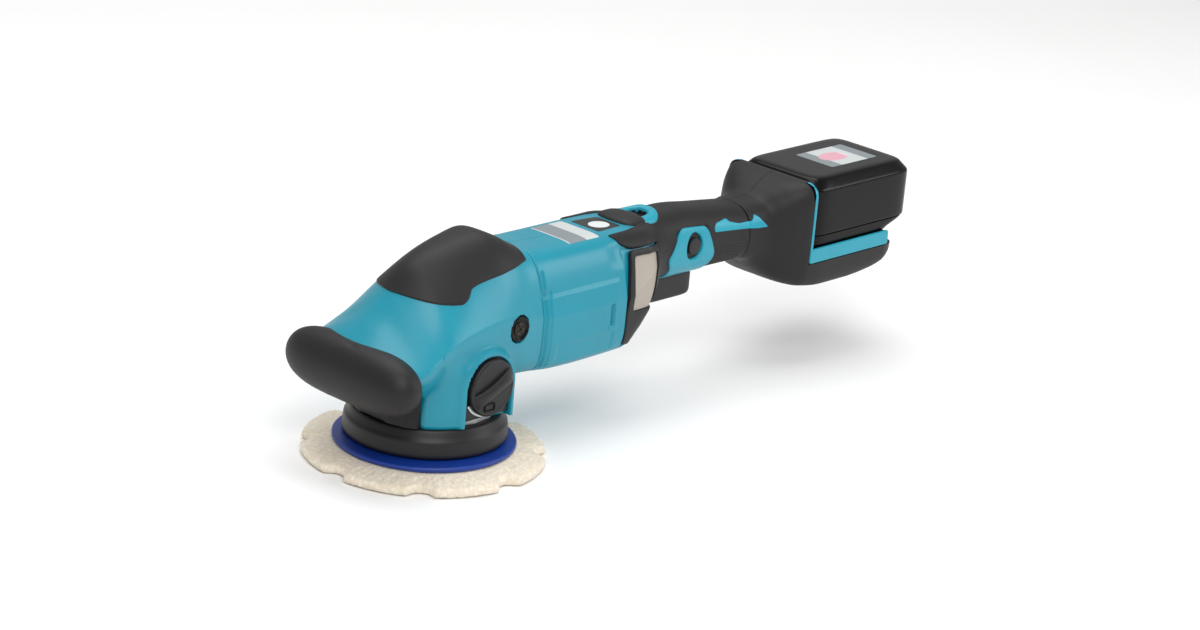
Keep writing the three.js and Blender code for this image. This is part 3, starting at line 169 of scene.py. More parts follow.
def normalsOf(points):  # unit normals of a grid from its two gradients, turned away from its middle
    across = np.cross(np.gradient(points, axis=0), np.gradient(points, axis=1))
    normal = across / np.maximum(np.linalg.norm(across, axis=-1, keepdims=True), 1e-9)
    middle = points.mean(axis=1, keepdims=True)
    return normal * np.sign(np.sum(normal * (points - middle)) or 1)


# Four-cornered faces between the rows and columns of a grid; closed joins the last column to the
# first, and caps shut the first and the last row with a fan about their middle.
def sheet(points, closed=False, caps=(False, False)):
    rows, columns = points.shape[:2]
    index = np.arange(rows * columns).reshape(rows, columns)
    if closed:
        index = np.concatenate([index, index[:, :1]], axis=1)
    quads = np.stack([index[:-1, :-1], index[1:, :-1], index[1:, 1:], index[:-1, 1:]], -1).reshape(-1, 4)
    vertices = points.reshape(-1, 3)
    fans = []
    for row, wanted in zip((0, -1), caps):
        if wanted:
            ring = index[row]
            centre = np.full(len(ring) - 1, len(vertices))
            vertices = np.vstack([vertices, points[row].mean(axis=0)])
            fans.append(np.stack([ring[:-1], ring[1:], centre], -1))
    return vertices, quads, fans


def piece(name, sheets, body, material, hides=(), wall=0.0, sharp=38):
    mesh = bpy.data.meshes.new(name)
    work = bmesh.new()
    vertices, faces, base = [], [], 0
    for corner, quads, fans in sheets:
        vertices.append(corner)
        faces += (quads + base).tolist()
        for fan in fans:
            faces += (fan + base).tolist()
        base += len(corner)
    mesh.from_pydata((np.vstack(vertices) * mm).tolist(), [], faces)
    work.from_mesh(mesh)
    bmesh.ops.remove_doubles(work, verts=work.verts, dist=0.004 * mm)
    bmesh.ops.dissolve_degenerate(work, edges=work.edges, dist=0.002 * mm)
    bmesh.ops.recalc_face_normals(work, faces=work.faces)
    centre = sum((v.co for v in work.verts), Vector()) / len(work.verts)
    outward = sum(f.normal.dot(f.calc_center_median() - centre) * f.calc_area() for f in work.faces)
    if wall and outward < 0:
        bmesh.ops.reverse_faces(work, faces=work.faces)
    work.to_mesh(mesh)
    work.free()
    mesh.shade_smooth()
    mesh.set_sharp_from_angle(angle=math.radians(sharp))
    made = bpy.data.objects.new(name, mesh)
    bpy.context.scene.collection.objects.link(made)
    made.data.materials.append(material)
    if wall:
        solidify = made.modifiers.new("wall", "SOLIDIFY")
        solidify.thickness = wall * mm
        solidify.offset = -1
    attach(made, body)
    if hides:
        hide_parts(*hides)
    return made


# At each corner a curve of second order whose middle control point is the corner; it starts and ends
# a radius away from the corner, along the ways to its neighbours.
def cornerArcs(corner, before, after, radius, steps):
    ways = [(way, np.linalg.norm(way, axis=1, keepdims=True)) for way in (before, after)]
    start, end = [corner + way / length * np.minimum(radius, 0.45 * length) for way, length in ways]
    t = np.linspace(0, 1, steps + 1)[None, :, None]
    arc = (1 - t) ** 2 * start[:, None] + 2 * t * (1 - t) * corner[:, None] + t ** 2 * end[:, None]
    return arc.reshape(-1, 2)


def roundedOutline(corners, radius, step=1.0, steps=8):  # closed outline with rounded corners
    corner = np.array(corners, float)
    before, after = np.roll(corner, 1, axis=0) - corner, np.roll(corner, -1, axis=0) - corner
    return resample(cornerArcs(corner, before, after, radius, steps), step)


def resample(outline, step=1.0):  # even steps along a closed outline
    ring = np.vstack([outline, outline[:1]])
    length = np.concatenate([[0], np.cumsum(np.linalg.norm(np.diff(ring, axis=0), axis=1))])
    at = np.linspace(0, length[-1], max(24, int(length[-1] / step)) + 1)[:-1]
    return np.stack([np.interp(at, length, ring[:, i]) for i in (0, 1)], -1)


def ellipse(centre, half, count=72):
    angle = np.arange(count) * turn / count
    return np.stack([centre[0] + half[0] * np.cos(angle), centre[1] + half[1] * np.sin(angle)], -1)


def inset(outline, by):  # each point moved inwards along the outline's own normal
    along = np.roll(outline, -1, axis=0) - np.roll(outline, 1, axis=0)
    normal = np.stack([-along[:, 1], along[:, 0]], -1)
    normal /= np.maximum(np.linalg.norm(normal, axis=1, keepdims=True), 1e-9)
    area = np.sum(outline[:, 0] * np.roll(outline[:, 1], -1) - outline[:, 1] * np.roll(outline[:, 0], -1))
    return outline + normal * by * np.sign(area)


# A plate that lies on a surface: its outline is inset and lifted row by row along a list of
# [inset, lift] pairs, and then shrinks to a line, or to an inner outline, at the last lift.
def plate(outline, surface, edge, spine=None, inner=None, back=-1.2, rows=6):
    rim = [surface(inset(outline, by), lift) for by, lift in edge]
    last, lift = inset(outline, edge[-1][0]), edge[-1][1]
    if inner is not None:
        innerEdge = [surface(inset(inner, -by), rise) for by, rise in edge[::-1]]
        across = inset(inner, -edge[-1][0]) - last
        between = [surface(last + across * share, lift) for share in np.linspace(0, 1, rows)[1:-1]]
        return sheet(np.stack(rim + between + innerEdge + [rim[0]]), closed=True)
    line = np.array(spine if spine is not None else [outline.mean(axis=0)] * 2, float)
    way = line[1] - line[0]
    share = np.clip((last - line[0]) @ way / max(way @ way, 1e-9), 0, 1)
    target = line[0] + share[:, None] * way
    front = [surface(last + (target - last) * t, lift) for t in np.linspace(0, 1, rows + 1)[1:]]
    base = inset(outline, edge[0][0])
    rear = [surface(base + (target - base) * t, back) for t in np.linspace(1, 0, rows + 1)]
    return sheet(np.stack(rear + rim + front), closed=True)


# On the side wall outline points are [x, z]; lift grows the superellipse section under them.
def onSide(form, side):
    def surface(flat, lift):
        top, bottom, half, square, lean = formAt(form, flat[:, 0])
        middle, high = (top + bottom) / 2, (top - bottom) / 2
        rise = np.clip((flat[:, 1] - middle) / high, -0.97, 0.97)
        across = (1 - np.abs(rise) ** square) ** (1 / square)
        y = (half * (1 - lean * np.maximum(0, rise)) + lift) * across
        return np.stack([flat[:, 0], side * y, middle + (high + lift) * rise], -1)
    return surface


def alongHandle(side):  # the side wall of the handle, and of the tail behind it
    def surface(flat, lift):
        y = np.where(flat[:, 0] < handleEnd, sideReach(housingForm, flat[:, 0], flat[:, 1]),
                     sideReach(tailForm, flat[:, 0], flat[:, 1]))
        return np.stack([flat[:, 0], side * (y + lift), flat[:, 1]], -1)
    return surface


def overShoulder(form, side):  # outline points are [x, degrees up from the side wall]
    def surface(flat, lift):
        points = sectionPoint(form, flat[:, 0], np.radians(flat[:, 1]), lift)
        return points * [1, side, 1]
    return surface


def onPlane(axis, level):  # outline points are the two other coordinates; lift is along the axis
    def surface(flat, lift):
        return np.insert(flat, axis, level + math.copysign(1, level) * lift, axis=1)
    return surface


def onTop(form):  # outline points are [x, y]; lift is upwards
    def surface(flat, lift):
        return np.stack([flat[:, 0], flat[:, 1], topReach(form, flat[:, 0], flat[:, 1]) + lift], -1)
    return surface


# A turned piece: [radius, along] pairs carried round an axis.
def turned(profile, centre, axis=2, count=96, ripple=None):
    profile = np.array(profile, float)
    angle = np.arange(count) * turn / count
    radius = profile[:, 0, None] + 0 * angle
    if ripple is not None:
        radius = ripple(radius, profile[:, 1, None], angle)
    flat = [radius * np.cos(angle), radius * np.sin(angle), profile[:, 1, None] + 0 * angle]
    order = {2: (0, 1, 2), 1: (0, 2, 1)}[axis]
    points = np.stack([flat[i] for i in order], -1) + np.array(centre, float)
    return sheet(points, closed=True, caps=(profile[0, 0] > 0, profile[-1, 0] > 0))


def softened(profile, radius, steps=5):  # open profile with rounded corners between its ends
    corner = np.array(profile, float)
    middle = corner[1:-1]
    arc = cornerArcs(middle, corner[:-2] - middle, corner[2:] - middle, radius, steps)
    return np.vstack([corner[:1], arc, corner[-1:]])


# A block with rounded edges: a ball's directions pushed out to a box by a high power, so that
# |x/a|^p + |y/b|^p + |z/c|^p is 1 all over, each corner's roundness set by the power.
def roundedBlock(low, high, power=8, count=(64, 96)):
    low, high = np.array(low, float), np.array(high, float)
    down = np.linspace(0, math.pi, count[0])[:, None]
    about = np.linspace(0, turn, count[1] + 1)[None, :-1]
    way = np.stack(np.broadcast_arrays(np.sin(down) * np.cos(about), np.sin(down) * np.sin(about),
                                       np.cos(down)), -1)
    reach = np.sum(np.abs(way) ** power, axis=-1, keepdims=True) ** (-1 / power)
    return sheet((low + high) / 2 + way * reach * (high - low) / 2, closed=True)


def linear(code):  # sRGB hex to linear light
    part = np.array([int(code[i:i + 2], 16) for i in (1, 3, 5)]) / 255
    light = np.where(part <= 0.04045, part / 12.92, ((part + 0.055) / 1.055) ** 2.4)
    return (*light.tolist(), 1.0)


def add(tree, kind, inputs=None, **settings):
    node = tree.nodes.new(kind)
    for key, value in settings.items():
        setattr(node, key, value)
    for key, value in (inputs or {}).items():
        if isinstance(value, bpy.types.NodeSocket):
            tree.links.new(value, node.inputs[key])
        else:
            node.inputs[key].default_value = value
    return node


def startMaterial(name):
    material = bpy.data.materials.new(name)
    material.use_nodes = True
    tree = material.node_tree
    tree.nodes.clear()
    shader = add(tree, "ShaderNodeBsdfPrincipled")
    add(tree, "ShaderNodeOutputMaterial", {"Surface": shader.outputs[0]})
    place = add(tree, "ShaderNodeTexCoord").outputs["Object"]
    return material, tree, shader, place


# Moulded polymer: a fine eroded grain from the mould, a slow drift of colour from the flow of the
# melt, and a roughness that wanders a little where hands have polished it.
def moulded(name, colour, shade, roughness, grain, depth, coat=0.0, shine=0.5):
    material, tree, shader, place = startMaterial(name)
    drift = add(tree, "ShaderNodeTexNoise", {"Vector": place, "Scale": 28.0, "Detail": 3.0})
    fine = add(tree, "ShaderNodeTexNoise", {"Vector": place, "Scale": 1 / (grain * mm), "Detail": 2.0})
    tint = add(tree, "ShaderNodeValToRGB", {"Fac": drift.outputs["Fac"]})
    tint.color_ramp.elements[0].color = linear(colour)
    tint.color_ramp.elements[1].color = linear(shade)
    spread = add(tree, "ShaderNodeMapRange", {"Value": fine.outputs["Fac"], "To Min": roughness - 0.05,
                                              "To Max": roughness + 0.07})
    bump = add(tree, "ShaderNodeBump", {"Height": fine.outputs["Fac"], "Strength": 0.5,
                                        "Distance": depth * mm})
    tree.links.new(tint.outputs["Color"], shader.inputs["Base Color"])
    tree.links.new(spread.outputs[0], shader.inputs["Roughness"])
    tree.links.new(bump.outputs[0], shader.inputs["Normal"])
    shader.inputs["Specular IOR Level"].default_value = shine
    shader.inputs["Coat Weight"].default_value = coat
    shader.inputs["Coat Roughness"].default_value = 0.12
    return material


# Metal: turned or cast; stretch along one axis draws the tool's lines, even noise gives a cast skin.
def metal(name, colour, shade, roughness, grain, stretch, depth):
    material, tree, shader, place = startMaterial(name)
    mapped = add(tree, "ShaderNodeMapping", {"Vector": place, "Scale": stretch})
    fine = add(tree, "ShaderNodeTexNoise", {"Vector": mapped.outputs[0], "Scale": 1 / (grain * mm),
                                            "Detail": 3.0})
    drift = add(tree, "ShaderNodeTexNoise", {"Vector": place, "Scale": 60.0, "Detail": 2.0})
    ramped = add(tree, "ShaderNodeValToRGB", {"Fac": drift.outputs["Fac"]})
    ramped.color_ramp.elements[0].color = linear(shade)
    ramped.color_ramp.elements[1].color = linear(colour)
    spread = add(tree, "ShaderNodeMapRange", {"Value": fine.outputs["Fac"], "To Min": roughness - 0.08,
                                              "To Max": roughness + 0.12})
    bump = add(tree, "ShaderNodeBump", {"Height": fine.outputs["Fac"], "Strength": 0.4,
                                        "Distance": depth * mm})
    tree.links.new(ramped.outputs["Color"], shader.inputs["Base Color"])
    tree.links.new(spread.outputs[0], shader.inputs["Roughness"])
    tree.links.new(bump.outputs[0], shader.inputs["Normal"])
    shader.inputs["Metallic"].default_value = 1.0
    return material


# Lambswool on a woven back: short matted pile in tufts of about 3 mm, cream, with creases between the tufts
# and a soft sheen. The colour carries painted shade: it darkens towards the creases between the tufts, over
# the wool's own tone, which wanders with the fibre noise.
def wool():
    material, tree, shader, place = startMaterial("lambswool_pile")
    tuft = add(tree, "ShaderNodeTexVoronoi", {"Vector": place, "Scale": 1 / (2.6 * mm), "Randomness": 1.0},
               feature="SMOOTH_F1")
    fibre = add(tree, "ShaderNodeTexNoise", {"Vector": place, "Scale": 1 / (0.5 * mm), "Detail": 4.0})
    mixed = add(tree, "ShaderNodeMath", {0: tuft.outputs["Distance"], 1: fibre.outputs["Fac"]},
                operation="ADD")
    # Painted shade: the cream turns darker towards the creases between the tufts.
    ramped = add(tree, "ShaderNodeValToRGB", {"Fac": mixed.outputs[0]})
    ramped.color_ramp.elements[0].position = 0.35
    ramped.color_ramp.elements[0].color = linear("#FFF8EA")
    ramped.color_ramp.elements[1].position = 1.2
    ramped.color_ramp.elements[1].color = linear("#E9DCC6")
    bump = add(tree, "ShaderNodeBump", {"Height": mixed.outputs[0], "Strength": 0.7, "Distance": 0.5 * mm},
               invert=True)
    tree.links.new(ramped.outputs["Color"], shader.inputs["Base Color"])
    tree.links.new(bump.outputs[0], shader.inputs["Normal"])
    shader.inputs["Roughness"].default_value = 0.95
    shader.inputs["Sheen Weight"].default_value = 0.5
    shader.inputs["Sheen Roughness"].default_value = 0.4
    return material


# Woven steel filter cloth: wires 0.9 mm apart, drawn a little coarser than the real cloth so that the weave
# shows. Over the steel's grey, the colour carries a painted highlight over the crossings and painted shade in
# the holes.
def filterCloth():
    material, tree, shader, place = startMaterial("woven_filter_cloth")
    parts = add(tree, "ShaderNodeSeparateXYZ", {"Vector": place})
    waves = []
    for axis in ("X", "Z"):
        scaled = add(tree, "ShaderNodeMath", {0: parts.outputs[axis], 1: turn / (0.9 * mm)},
                     operation="MULTIPLY")
        waves.append(add(tree, "ShaderNodeMath", {0: scaled.outputs[0]}, operation="SINE"))
    weave = add(tree, "ShaderNodeMath", {0: waves[0].outputs[0], 1: waves[1].outputs[0]},
                operation="MULTIPLY")
    lifted = add(tree, "ShaderNodeMapRange", {"Value": weave.outputs[0], "From Min": -1.0,
                                              "From Max": 1.0})
    # Painted highlight on the wire crossings and painted shade in the holes between them, over the cloth's
    # grey.
    ramped = add(tree, "ShaderNodeValToRGB", {"Fac": lifted.outputs[0]})
    ramped.color_ramp.elements[0].color = linear("#8F877D")
    ramped.color_ramp.elements[1].color = linear("#CFC6BA")
    bump = add(tree, "ShaderNodeBump", {"Height": lifted.outputs[0], "Strength": 0.6,
                                        "Distance": 0.25 * mm})
    tree.links.new(ramped.outputs["Color"], shader.inputs["Base Color"])
    tree.links.new(bump.outputs[0], shader.inputs["Normal"])
    shader.inputs["Roughness"].default_value = 0.55
    shader.inputs["Metallic"].default_value = 0.25
    return material


# Printed vinyl label: a satin film with faint blank panels in a second tone, no lettering.
def label(name, colour, second, stripe, roughness=0.35):
    material, tree, shader, place = startMaterial(name)
    bands = add(tree, "ShaderNodeTexWave", {"Vector": place, "Scale": 1 / (stripe * mm) / 20,
                                            "Distortion": 0.0}, bands_direction="X")
    grain = add(tree, "ShaderNodeTexNoise", {"Vector": place, "Scale": 1 / (0.6 * mm)})
    ramped = add(tree, "ShaderNodeValToRGB", {"Fac": bands.outputs["Fac"]})
    ramped.color_ramp.interpolation = "CONSTANT"
    ramped.color_ramp.elements[0].color = linear(colour)
    ramped.color_ramp.elements[1].position = 0.72
    ramped.color_ramp.elements[1].color = linear(second)
    bump = add(tree, "ShaderNodeBump", {"Height": grain.outputs["Fac"], "Strength": 0.15,
                                        "Distance": 0.05 * mm})
    tree.links.new(ramped.outputs["Color"], shader.inputs["Base Color"])
    tree.links.new(bump.outputs[0], shader.inputs["Normal"])
    shader.inputs["Roughness"].default_value = roughness
    return material


tealNylon = moulded("teal_glass_filled_nylon", "#0090A6", "#008297", 0.36, 0.45, 0.05, coat=0.08)
tealTrim = moulded("teal_trim_nylon", "#009DB4", "#0090A6", 0.33, 0.5, 0.03, coat=0.08)
softRubber = moulded("charcoal_thermoplastic_rubber", "#1E1C1E", "#171617", 0.5, 0.6, 0.09, shine=0.35)
darkNylon = moulded("charcoal_glass_filled_nylon", "#1D1B1D", "#151415", 0.42, 0.5, 0.06, shine=0.4)
blackNylon = moulded("black_polished_nylon", "#030203", "#020202", 0.2, 0.8, 0.02, shine=0.2)
blueUrethane = moulded("blue_urethane_backing", "#0F3A98", "#0B2F80", 0.4, 0.6, 0.05)
steel = metal("turned_steel", "#C9CACC", "#A5A6A9", 0.28, 0.35, (1, 1, 8), 0.02)
darkSteel = metal("blackened_screw_steel", "#4A4440", "#2C2825", 0.35, 0.35, (1, 1, 1), 0.02)
castAlloy = metal("cast_aluminium", "#B9BBBD", "#97999B", 0.45, 0.7, (1, 1, 1), 0.08)
lamination = metal("stacked_steel_laminations", "#8E9093", "#5F6063", 0.4, 0.35, (8, 0.5, 0.5), 0.06)
copper = metal("enamelled_copper_wire", "#C6713A", "#8F4A22", 0.3, 0.6, (6, 1, 1), 0.12)
cellWrap = moulded("cell_shrink_wrap", "#3F8F74", "#377F67", 0.32, 0.9, 0.02)
woolPile = wool()
meshCloth = filterCloth()
paleLabel = label("printed_data_label", "#C4C9CA", "#7F888C", 7.0)
darkLabel = label("black_label_film", "#17171A", "#232327", 30.0)
whiteMark = label("white_mark", "#E9ECEC", "#DADFDF", 40.0)
roseMark = label("rose_print", "#D9A0AF", "#E6CBD1", 12.0)
print("materials made:", len(bpy.data.materials))

# Head cover, and the cheek that closes it under the nose.
head = {"front": -74.5, "column": 48.5, "shoulder": 74.0, "bossReach": 47.5, "bossWall": 3.2,
        "blend": 7.0, "wall": 2.5, "step": 0.9, "around": 196, "centreZ": motorZ - 7}
cheek = {"spread": math.radians(41), "radius": 50.0, "top": 58.0, "mouth": 0.34, "mouthDeep": 3.4,
         "wedge": 0.16, "wedgeDeep": 1.2, "flare": 9}
plugLow, plugHigh = boxOf("side_plug_left")
plug = {"radius": (plugHigh[0] - plugLow[0]) / 2, "room": 0.5, "floor": 30.0}


def smoothMax(a, b, k):
    overlap = np.maximum(k - np.abs(a - b), 0) / k
    return np.maximum(a, b) + overlap ** 2 * k / 4


# Depth inside the head, positive within: the smooth union of the long body, the round column over the
# gear case and, on the knob's side, a boss with an arched top.
def headDepth(x, y, z):
    top, bottom, half, square, lean = formAt(headForm, x)
    rise = (z - (top + bottom) / 2) / ((top - bottom) / 2)
    width = half * (1 - lean * np.clip(rise, 0, 1))
    body = (1 - (np.abs(rise) ** square + np.abs(y / width) ** square) ** (1 / square)) * 46
    behindCheek = (1 - ramp(np.abs(math.pi - np.arctan2(y, x) % turn), cheek["spread"] + 0.02, 0.05))
    behindCheek = behindCheek * (1 - ramp(z, cheek["top"] - 6, 4))
    column = -smoothMax(np.hypot(x, y) - head["column"] + 7 * behindCheek, z - head["shoulder"], 8)
    arch = np.hypot(x - knobX, np.maximum(z - knobZ, 0))
    boss = -smoothMax(arch - knobRadius - 1.5 - head["bossWall"], -y - head["bossReach"], 3)
    boss = np.where(y < -20, boss, -60)
    return smoothMax(smoothMax(body, column, head["blend"]), boss, 5)


# Where each ray from the middle of a station leaves the head: the last of 140 samples that is inside,
# then halved down.
def headRays(x, angle):
    x = x[:, None] + 0 * angle
    dy, dz = np.cos(angle), np.sin(angle)
    reach = np.linspace(2, 118, 140)[:, None, None]
    inside = headDepth(x, reach * dy, head["centreZ"] + reach * dz) > 0
    last = inside.shape[0] - 1 - np.argmax(inside[::-1], axis=0)
    low = reach[last, 0, 0]
    high = low + 116 / 139
    for _ in range(16):
        middle = (low + high) / 2
        within = headDepth(x, middle * dy, head["centreZ"] + middle * dz) > 0
        low, high = np.where(within, middle, low), np.where(within, high, middle)
    return low


def headSurface():
    radius = head["column"]
    body = np.linspace(head["front"], seamX - gap, int((seamX - head["front"]) / head["step"]) + 1)
    ends = radius * np.sin(np.linspace(-1, 1, 61) * math.pi / 2)
    x = np.unique(np.round(np.concatenate([body, ends, ends[[0, -1]] * 1.0006]), 3))
    y = np.linspace(0, 60, 601)
    mouth = {}
    for side in (1, -1):  # half-width of the mouth at the column's foot
        hit = headDepth(x[:, None], side * y, columnBottom) > 0
        mouth[side] = np.where(hit.any(axis=1), y[hit.shape[1] - 1 - np.argmax(hit[:, ::-1], axis=1)], 0)
    drop = head["centreZ"] - columnBottom
    start = -np.arctan2(drop, mouth[1])
    end = math.pi + np.arctan2(drop, mouth[-1])
    angle = start[:, None] + np.linspace(0, 1, head["around"]) * (end - start)[:, None]
    reach = headRays(x, angle)
    floor = drop / np.maximum(-np.sin(angle), 1e-6)
    reach = np.where((np.sin(angle) < 0) & ((mouth[1] > 0) | (mouth[-1] > 0))[:, None],
                     np.minimum(reach, floor), reach)
    points = np.stack([x[:, None] + 0 * angle, reach * np.cos(angle),
                       head["centreZ"] + reach * np.sin(angle)], -1)
    arch = np.hypot(points[..., 0] - knobX, np.maximum(points[..., 2] - knobZ, 0))
    recess = (arch < knobRadius + 1.9) & (points[..., 1] < -20)
    points[..., 1] = np.where(recess, np.maximum(points[..., 1], -41.8), points[..., 1])
    for low, high, side in ((*boxOf("side_plug_left"), -1), (*boxOf("side_plug_right"), 1)):
        middle = (low + high) / 2
        hole = np.hypot(points[..., 0] - middle[0], points[..., 2] - middle[2]) < plug["radius"] + plug["room"]
        hole &= side * points[..., 1] > 20
        points[..., 1] = np.where(hole, side * np.minimum(np.abs(points[..., 1]), plug["floor"]),
                                  points[..., 1])
    return points


# A bead carried along the knob's arch: a flattened round section on a path of two uprights and a
# half circle.
def archBead():
    radius = knobRadius + 2.6
    bend = np.linspace(0, math.pi, 60)
    uprights = np.linspace(columnBottom, knobZ, 24)[:-1]
    path = np.concatenate([np.stack([knobX + radius + 0 * uprights, uprights], -1),
                           np.stack([knobX + radius * np.cos(bend), knobZ + radius * np.sin(bend)], -1),
                           np.stack([knobX - radius + 0 * uprights, uprights[::-1]], -1)])
    normal = np.concatenate([np.tile([1.0, 0], (23, 1)), np.stack([np.cos(bend), np.sin(bend)], -1),
                             np.tile([-1.0, 0], (23, 1))])
    around = np.arange(16) * turn / 16
    out = 1.5 * np.sign(np.cos(around)) * np.abs(np.cos(around)) ** 0.6
    rise = np.sign(np.sin(around)) * np.abs(np.sin(around)) ** 0.6
    xz = path[:, None] + normal[:, None] * out[None, :, None]
    y = -(head["bossReach"] - 3.4 + rise * 3.9)[None, :] + 0 * xz[..., 0]
    return sheet(np.stack([xz[..., 0], y, xz[..., 1]], -1), closed=True, caps=(True, True))


cover = piece("head_shell", [sheet(headSurface())], "housing",
              tealNylon, ["head_cover"], wall=head["wall"], sharp=50)
piece("knob_arch_bead", [archBead()], "housing", tealNylon)
print("head cover made:", len(cover.data.polygons), "faces")

# Saddle grip: a raised pad whose side edge steps down behind the middle of the head.
saddle = {"start": -39.2, "end": seamX - 6, "lift": 0.9, "round": 2.2, "columns": 120}


def saddleSurface():
    u = np.linspace(0, 1, 130)
    x = saddle["start"] + (saddle["end"] - saddle["start"]) * u ** 1.6
    low = through(keyed(0, motorZ, [[-39.5, 28.4], [-31, 26], [-20, 24], [-9, 23.2], [-3, 25.5], [3, 31],
                                    [12, 33.2]]) + [[seamX - 6, motorZ + 38.5]], x)
    top, bottom = formAt(headForm, x)[:2]
    low = np.minimum(low, top - 0.05)
    edge = np.array([0, 0.15, 0.5, 1.1, 2.0, 3.2])
    inner = np.linspace(0, 1, saddle["columns"])
    near = sideReach(headForm, x, low)
    total = np.maximum(2 * near, 0.5)[:, None]
    v = np.concatenate([edge[None] / total * 0.5, 0.02 + 0.96 * inner[None] + 0 * total,
                        1 - edge[::-1][None] / total * 0.5], axis=1)
    v = np.sort(np.clip(v, 0, 1), axis=1)
    rise = (low - (top + bottom) / 2) / ((top - bottom) / 2)
    n = formAt(headForm, x)[3]
    cosine = (1 - np.clip(rise, 0, 0.9999) ** n) ** (1 / n)
    start = np.arctan2(rise, cosine)
    angle = start[:, None] + v * (math.pi - 2 * start)[:, None]
    base = sectionPoint(headForm, x[:, None], angle)
    side = np.linalg.norm(base - base[:, :1], axis=-1)
    other = np.linalg.norm(base - base[:, -1:], axis=-1)
    ends = np.abs(x - x[-1])[:, None]
    away = np.minimum(np.minimum(side, other), ends)
    shape = np.sqrt(np.clip(1 - (1 - np.clip(away / saddle["round"], 0, 1)) ** 2, 0, 1))
    lift = -1.0 + (saddle["lift"] + 1.0) * shape
    return base + normalsOf(base) * lift[..., None]


piece("saddle_pad", [sheet(saddleSurface())], "housing", softRubber, ["saddle_grip"],
      wall=0.6, sharp=60)

# Nose bar: an ellipse that shrinks towards both ends, with a small dimple on top.
barLow, barHigh = boxOf("nose_grip")
bar = {"x": barLow[0] + 18, "z": motorZ - 19, "half": 56.5, "deep": 18.0, "high": 20.5}


def noseBar():
    t = np.sin(np.linspace(-1, 1, 121) * math.pi / 2)[:, None]
    angle = (np.arange(96) * turn / 96)[None]
    along = np.sign(t) * np.abs(t) ** 0.9 * bar["half"]
    size = (1 - np.abs(t) ** 3.2) ** 0.42
    dimple = 0.9 * np.exp(-((along + 4) / 3.2) ** 2 - ((angle - 1.9) / 0.07) ** 2)
    x = bar["x"] + size * (bar["deep"] - dimple) * np.cos(angle)
    z = bar["z"] + size * (bar["high"] - dimple) * np.sin(angle)
    return np.stack(np.broadcast_arrays(x, along, z), -1)


piece("nose_bar", [sheet(noseBar(), closed=True)], "housing", softRubber, ["nose_grip"],
      sharp=70)

# Cheek under the nose: it wraps the column's front and flares up to the bar, with a mouth in the
# middle and a wedge on each side of the mouth.
def cheekSurface():
    v = np.linspace(-1, 1, 121)[None]
    angle = math.pi - v * cheek["spread"]
    z = np.concatenate([[columnBottom + 1.2], np.linspace(columnBottom, cheek["top"], 40)])[:, None]
    t = (z - columnBottom) / (cheek["top"] - columnBottom)
    off = np.abs(v)
    radius = cheek["radius"] + cheek["flare"] * t ** 2.2
    mouth = np.exp(-(v / cheek["mouth"]) ** 6) * (1 - ramp(z, columnBottom + 13 - 9 * off, 3))
    wedge = np.exp(-((off - 0.5) / cheek["wedge"]) ** 4)
    wedge = wedge * (1 - ramp(z, columnBottom + 12 - 16 * (0.66 - off), 3))
    radius = radius - cheek["mouthDeep"] * mouth - cheek["wedgeDeep"] * wedge
    radius[:1] -= 2.5  # the foot turns in
    radius = radius - 3.0 * ramp(off, 0.975, 0.06)  # and so do the two ends
    return np.stack([radius * np.cos(angle), radius * np.sin(angle), z + 0 * angle], -1)


piece("nose_cheek", [sheet(cheekSurface())], "housing", softRubber, ["front_bumper"],
      wall=2.0, sharp=45)

# Skirt and backing are turned profiles.
skirtLow, skirtHigh = boxOf("skirt")
skirtRadius = skirtHigh[0]
skirtWall, ceiling = 2.0, boxOf("ring_gear")[1][2] + gap
skirt = softened([[skirtRadius - skirtWall, skirtLow[2] + 0.4], [skirtRadius - 0.4, skirtLow[2]],
                  [skirtRadius, skirtLow[2] + 2], [skirtRadius - 0.9, 24.4], [skirtRadius - 2.6, 26.7],
                  [49.3, 31.2], [48, skirtHigh[2]], [39, skirtHigh[2]]], 1.2)
skirtInner = [[39, ceiling], [skirtRadius - skirtWall, ceiling],
              [skirtRadius - skirtWall, skirtLow[2] + 0.4]]
piece("skirt_shell", [turned(np.vstack([skirt, skirtInner]), (0, 0, 0), count=160)], "housing",
      darkNylon, ["skirt"])

padLow, padHigh = boxOf("polishing_pad")
backingLow, backingHigh = boxOf("backing_pad")
padX, padY = (backingLow[:2] + backingHigh[:2]) / 2
backingRadius = (backingHigh[0] - backingLow[0]) / 2
under = backingLow[2]
backing = softened([[6, under], [backingRadius - 0.6, under], [backingRadius, under + 1.4],
                    [backingRadius, under + 2.6], [backingRadius - 1, under + 3.4],
                    [backingRadius - 5, under + 3.4], [34, under + 3.6],
                    [30, backingHigh[2]], [8, backingHigh[2]]], 0.8)
backing = np.vstack([backing, backing[:1]])
piece("backing_disc", [turned(backing, (padX, padY, 0), count=160)], "pad", blueUrethane,
      ["backing_pad"])

pad = {"radius": 80.0, "thick": padHigh[2], "edge": 4.5, "notches": 8, "notchRadius": 9.0,
       "rows": 120, "around": 720, "seed": 7}


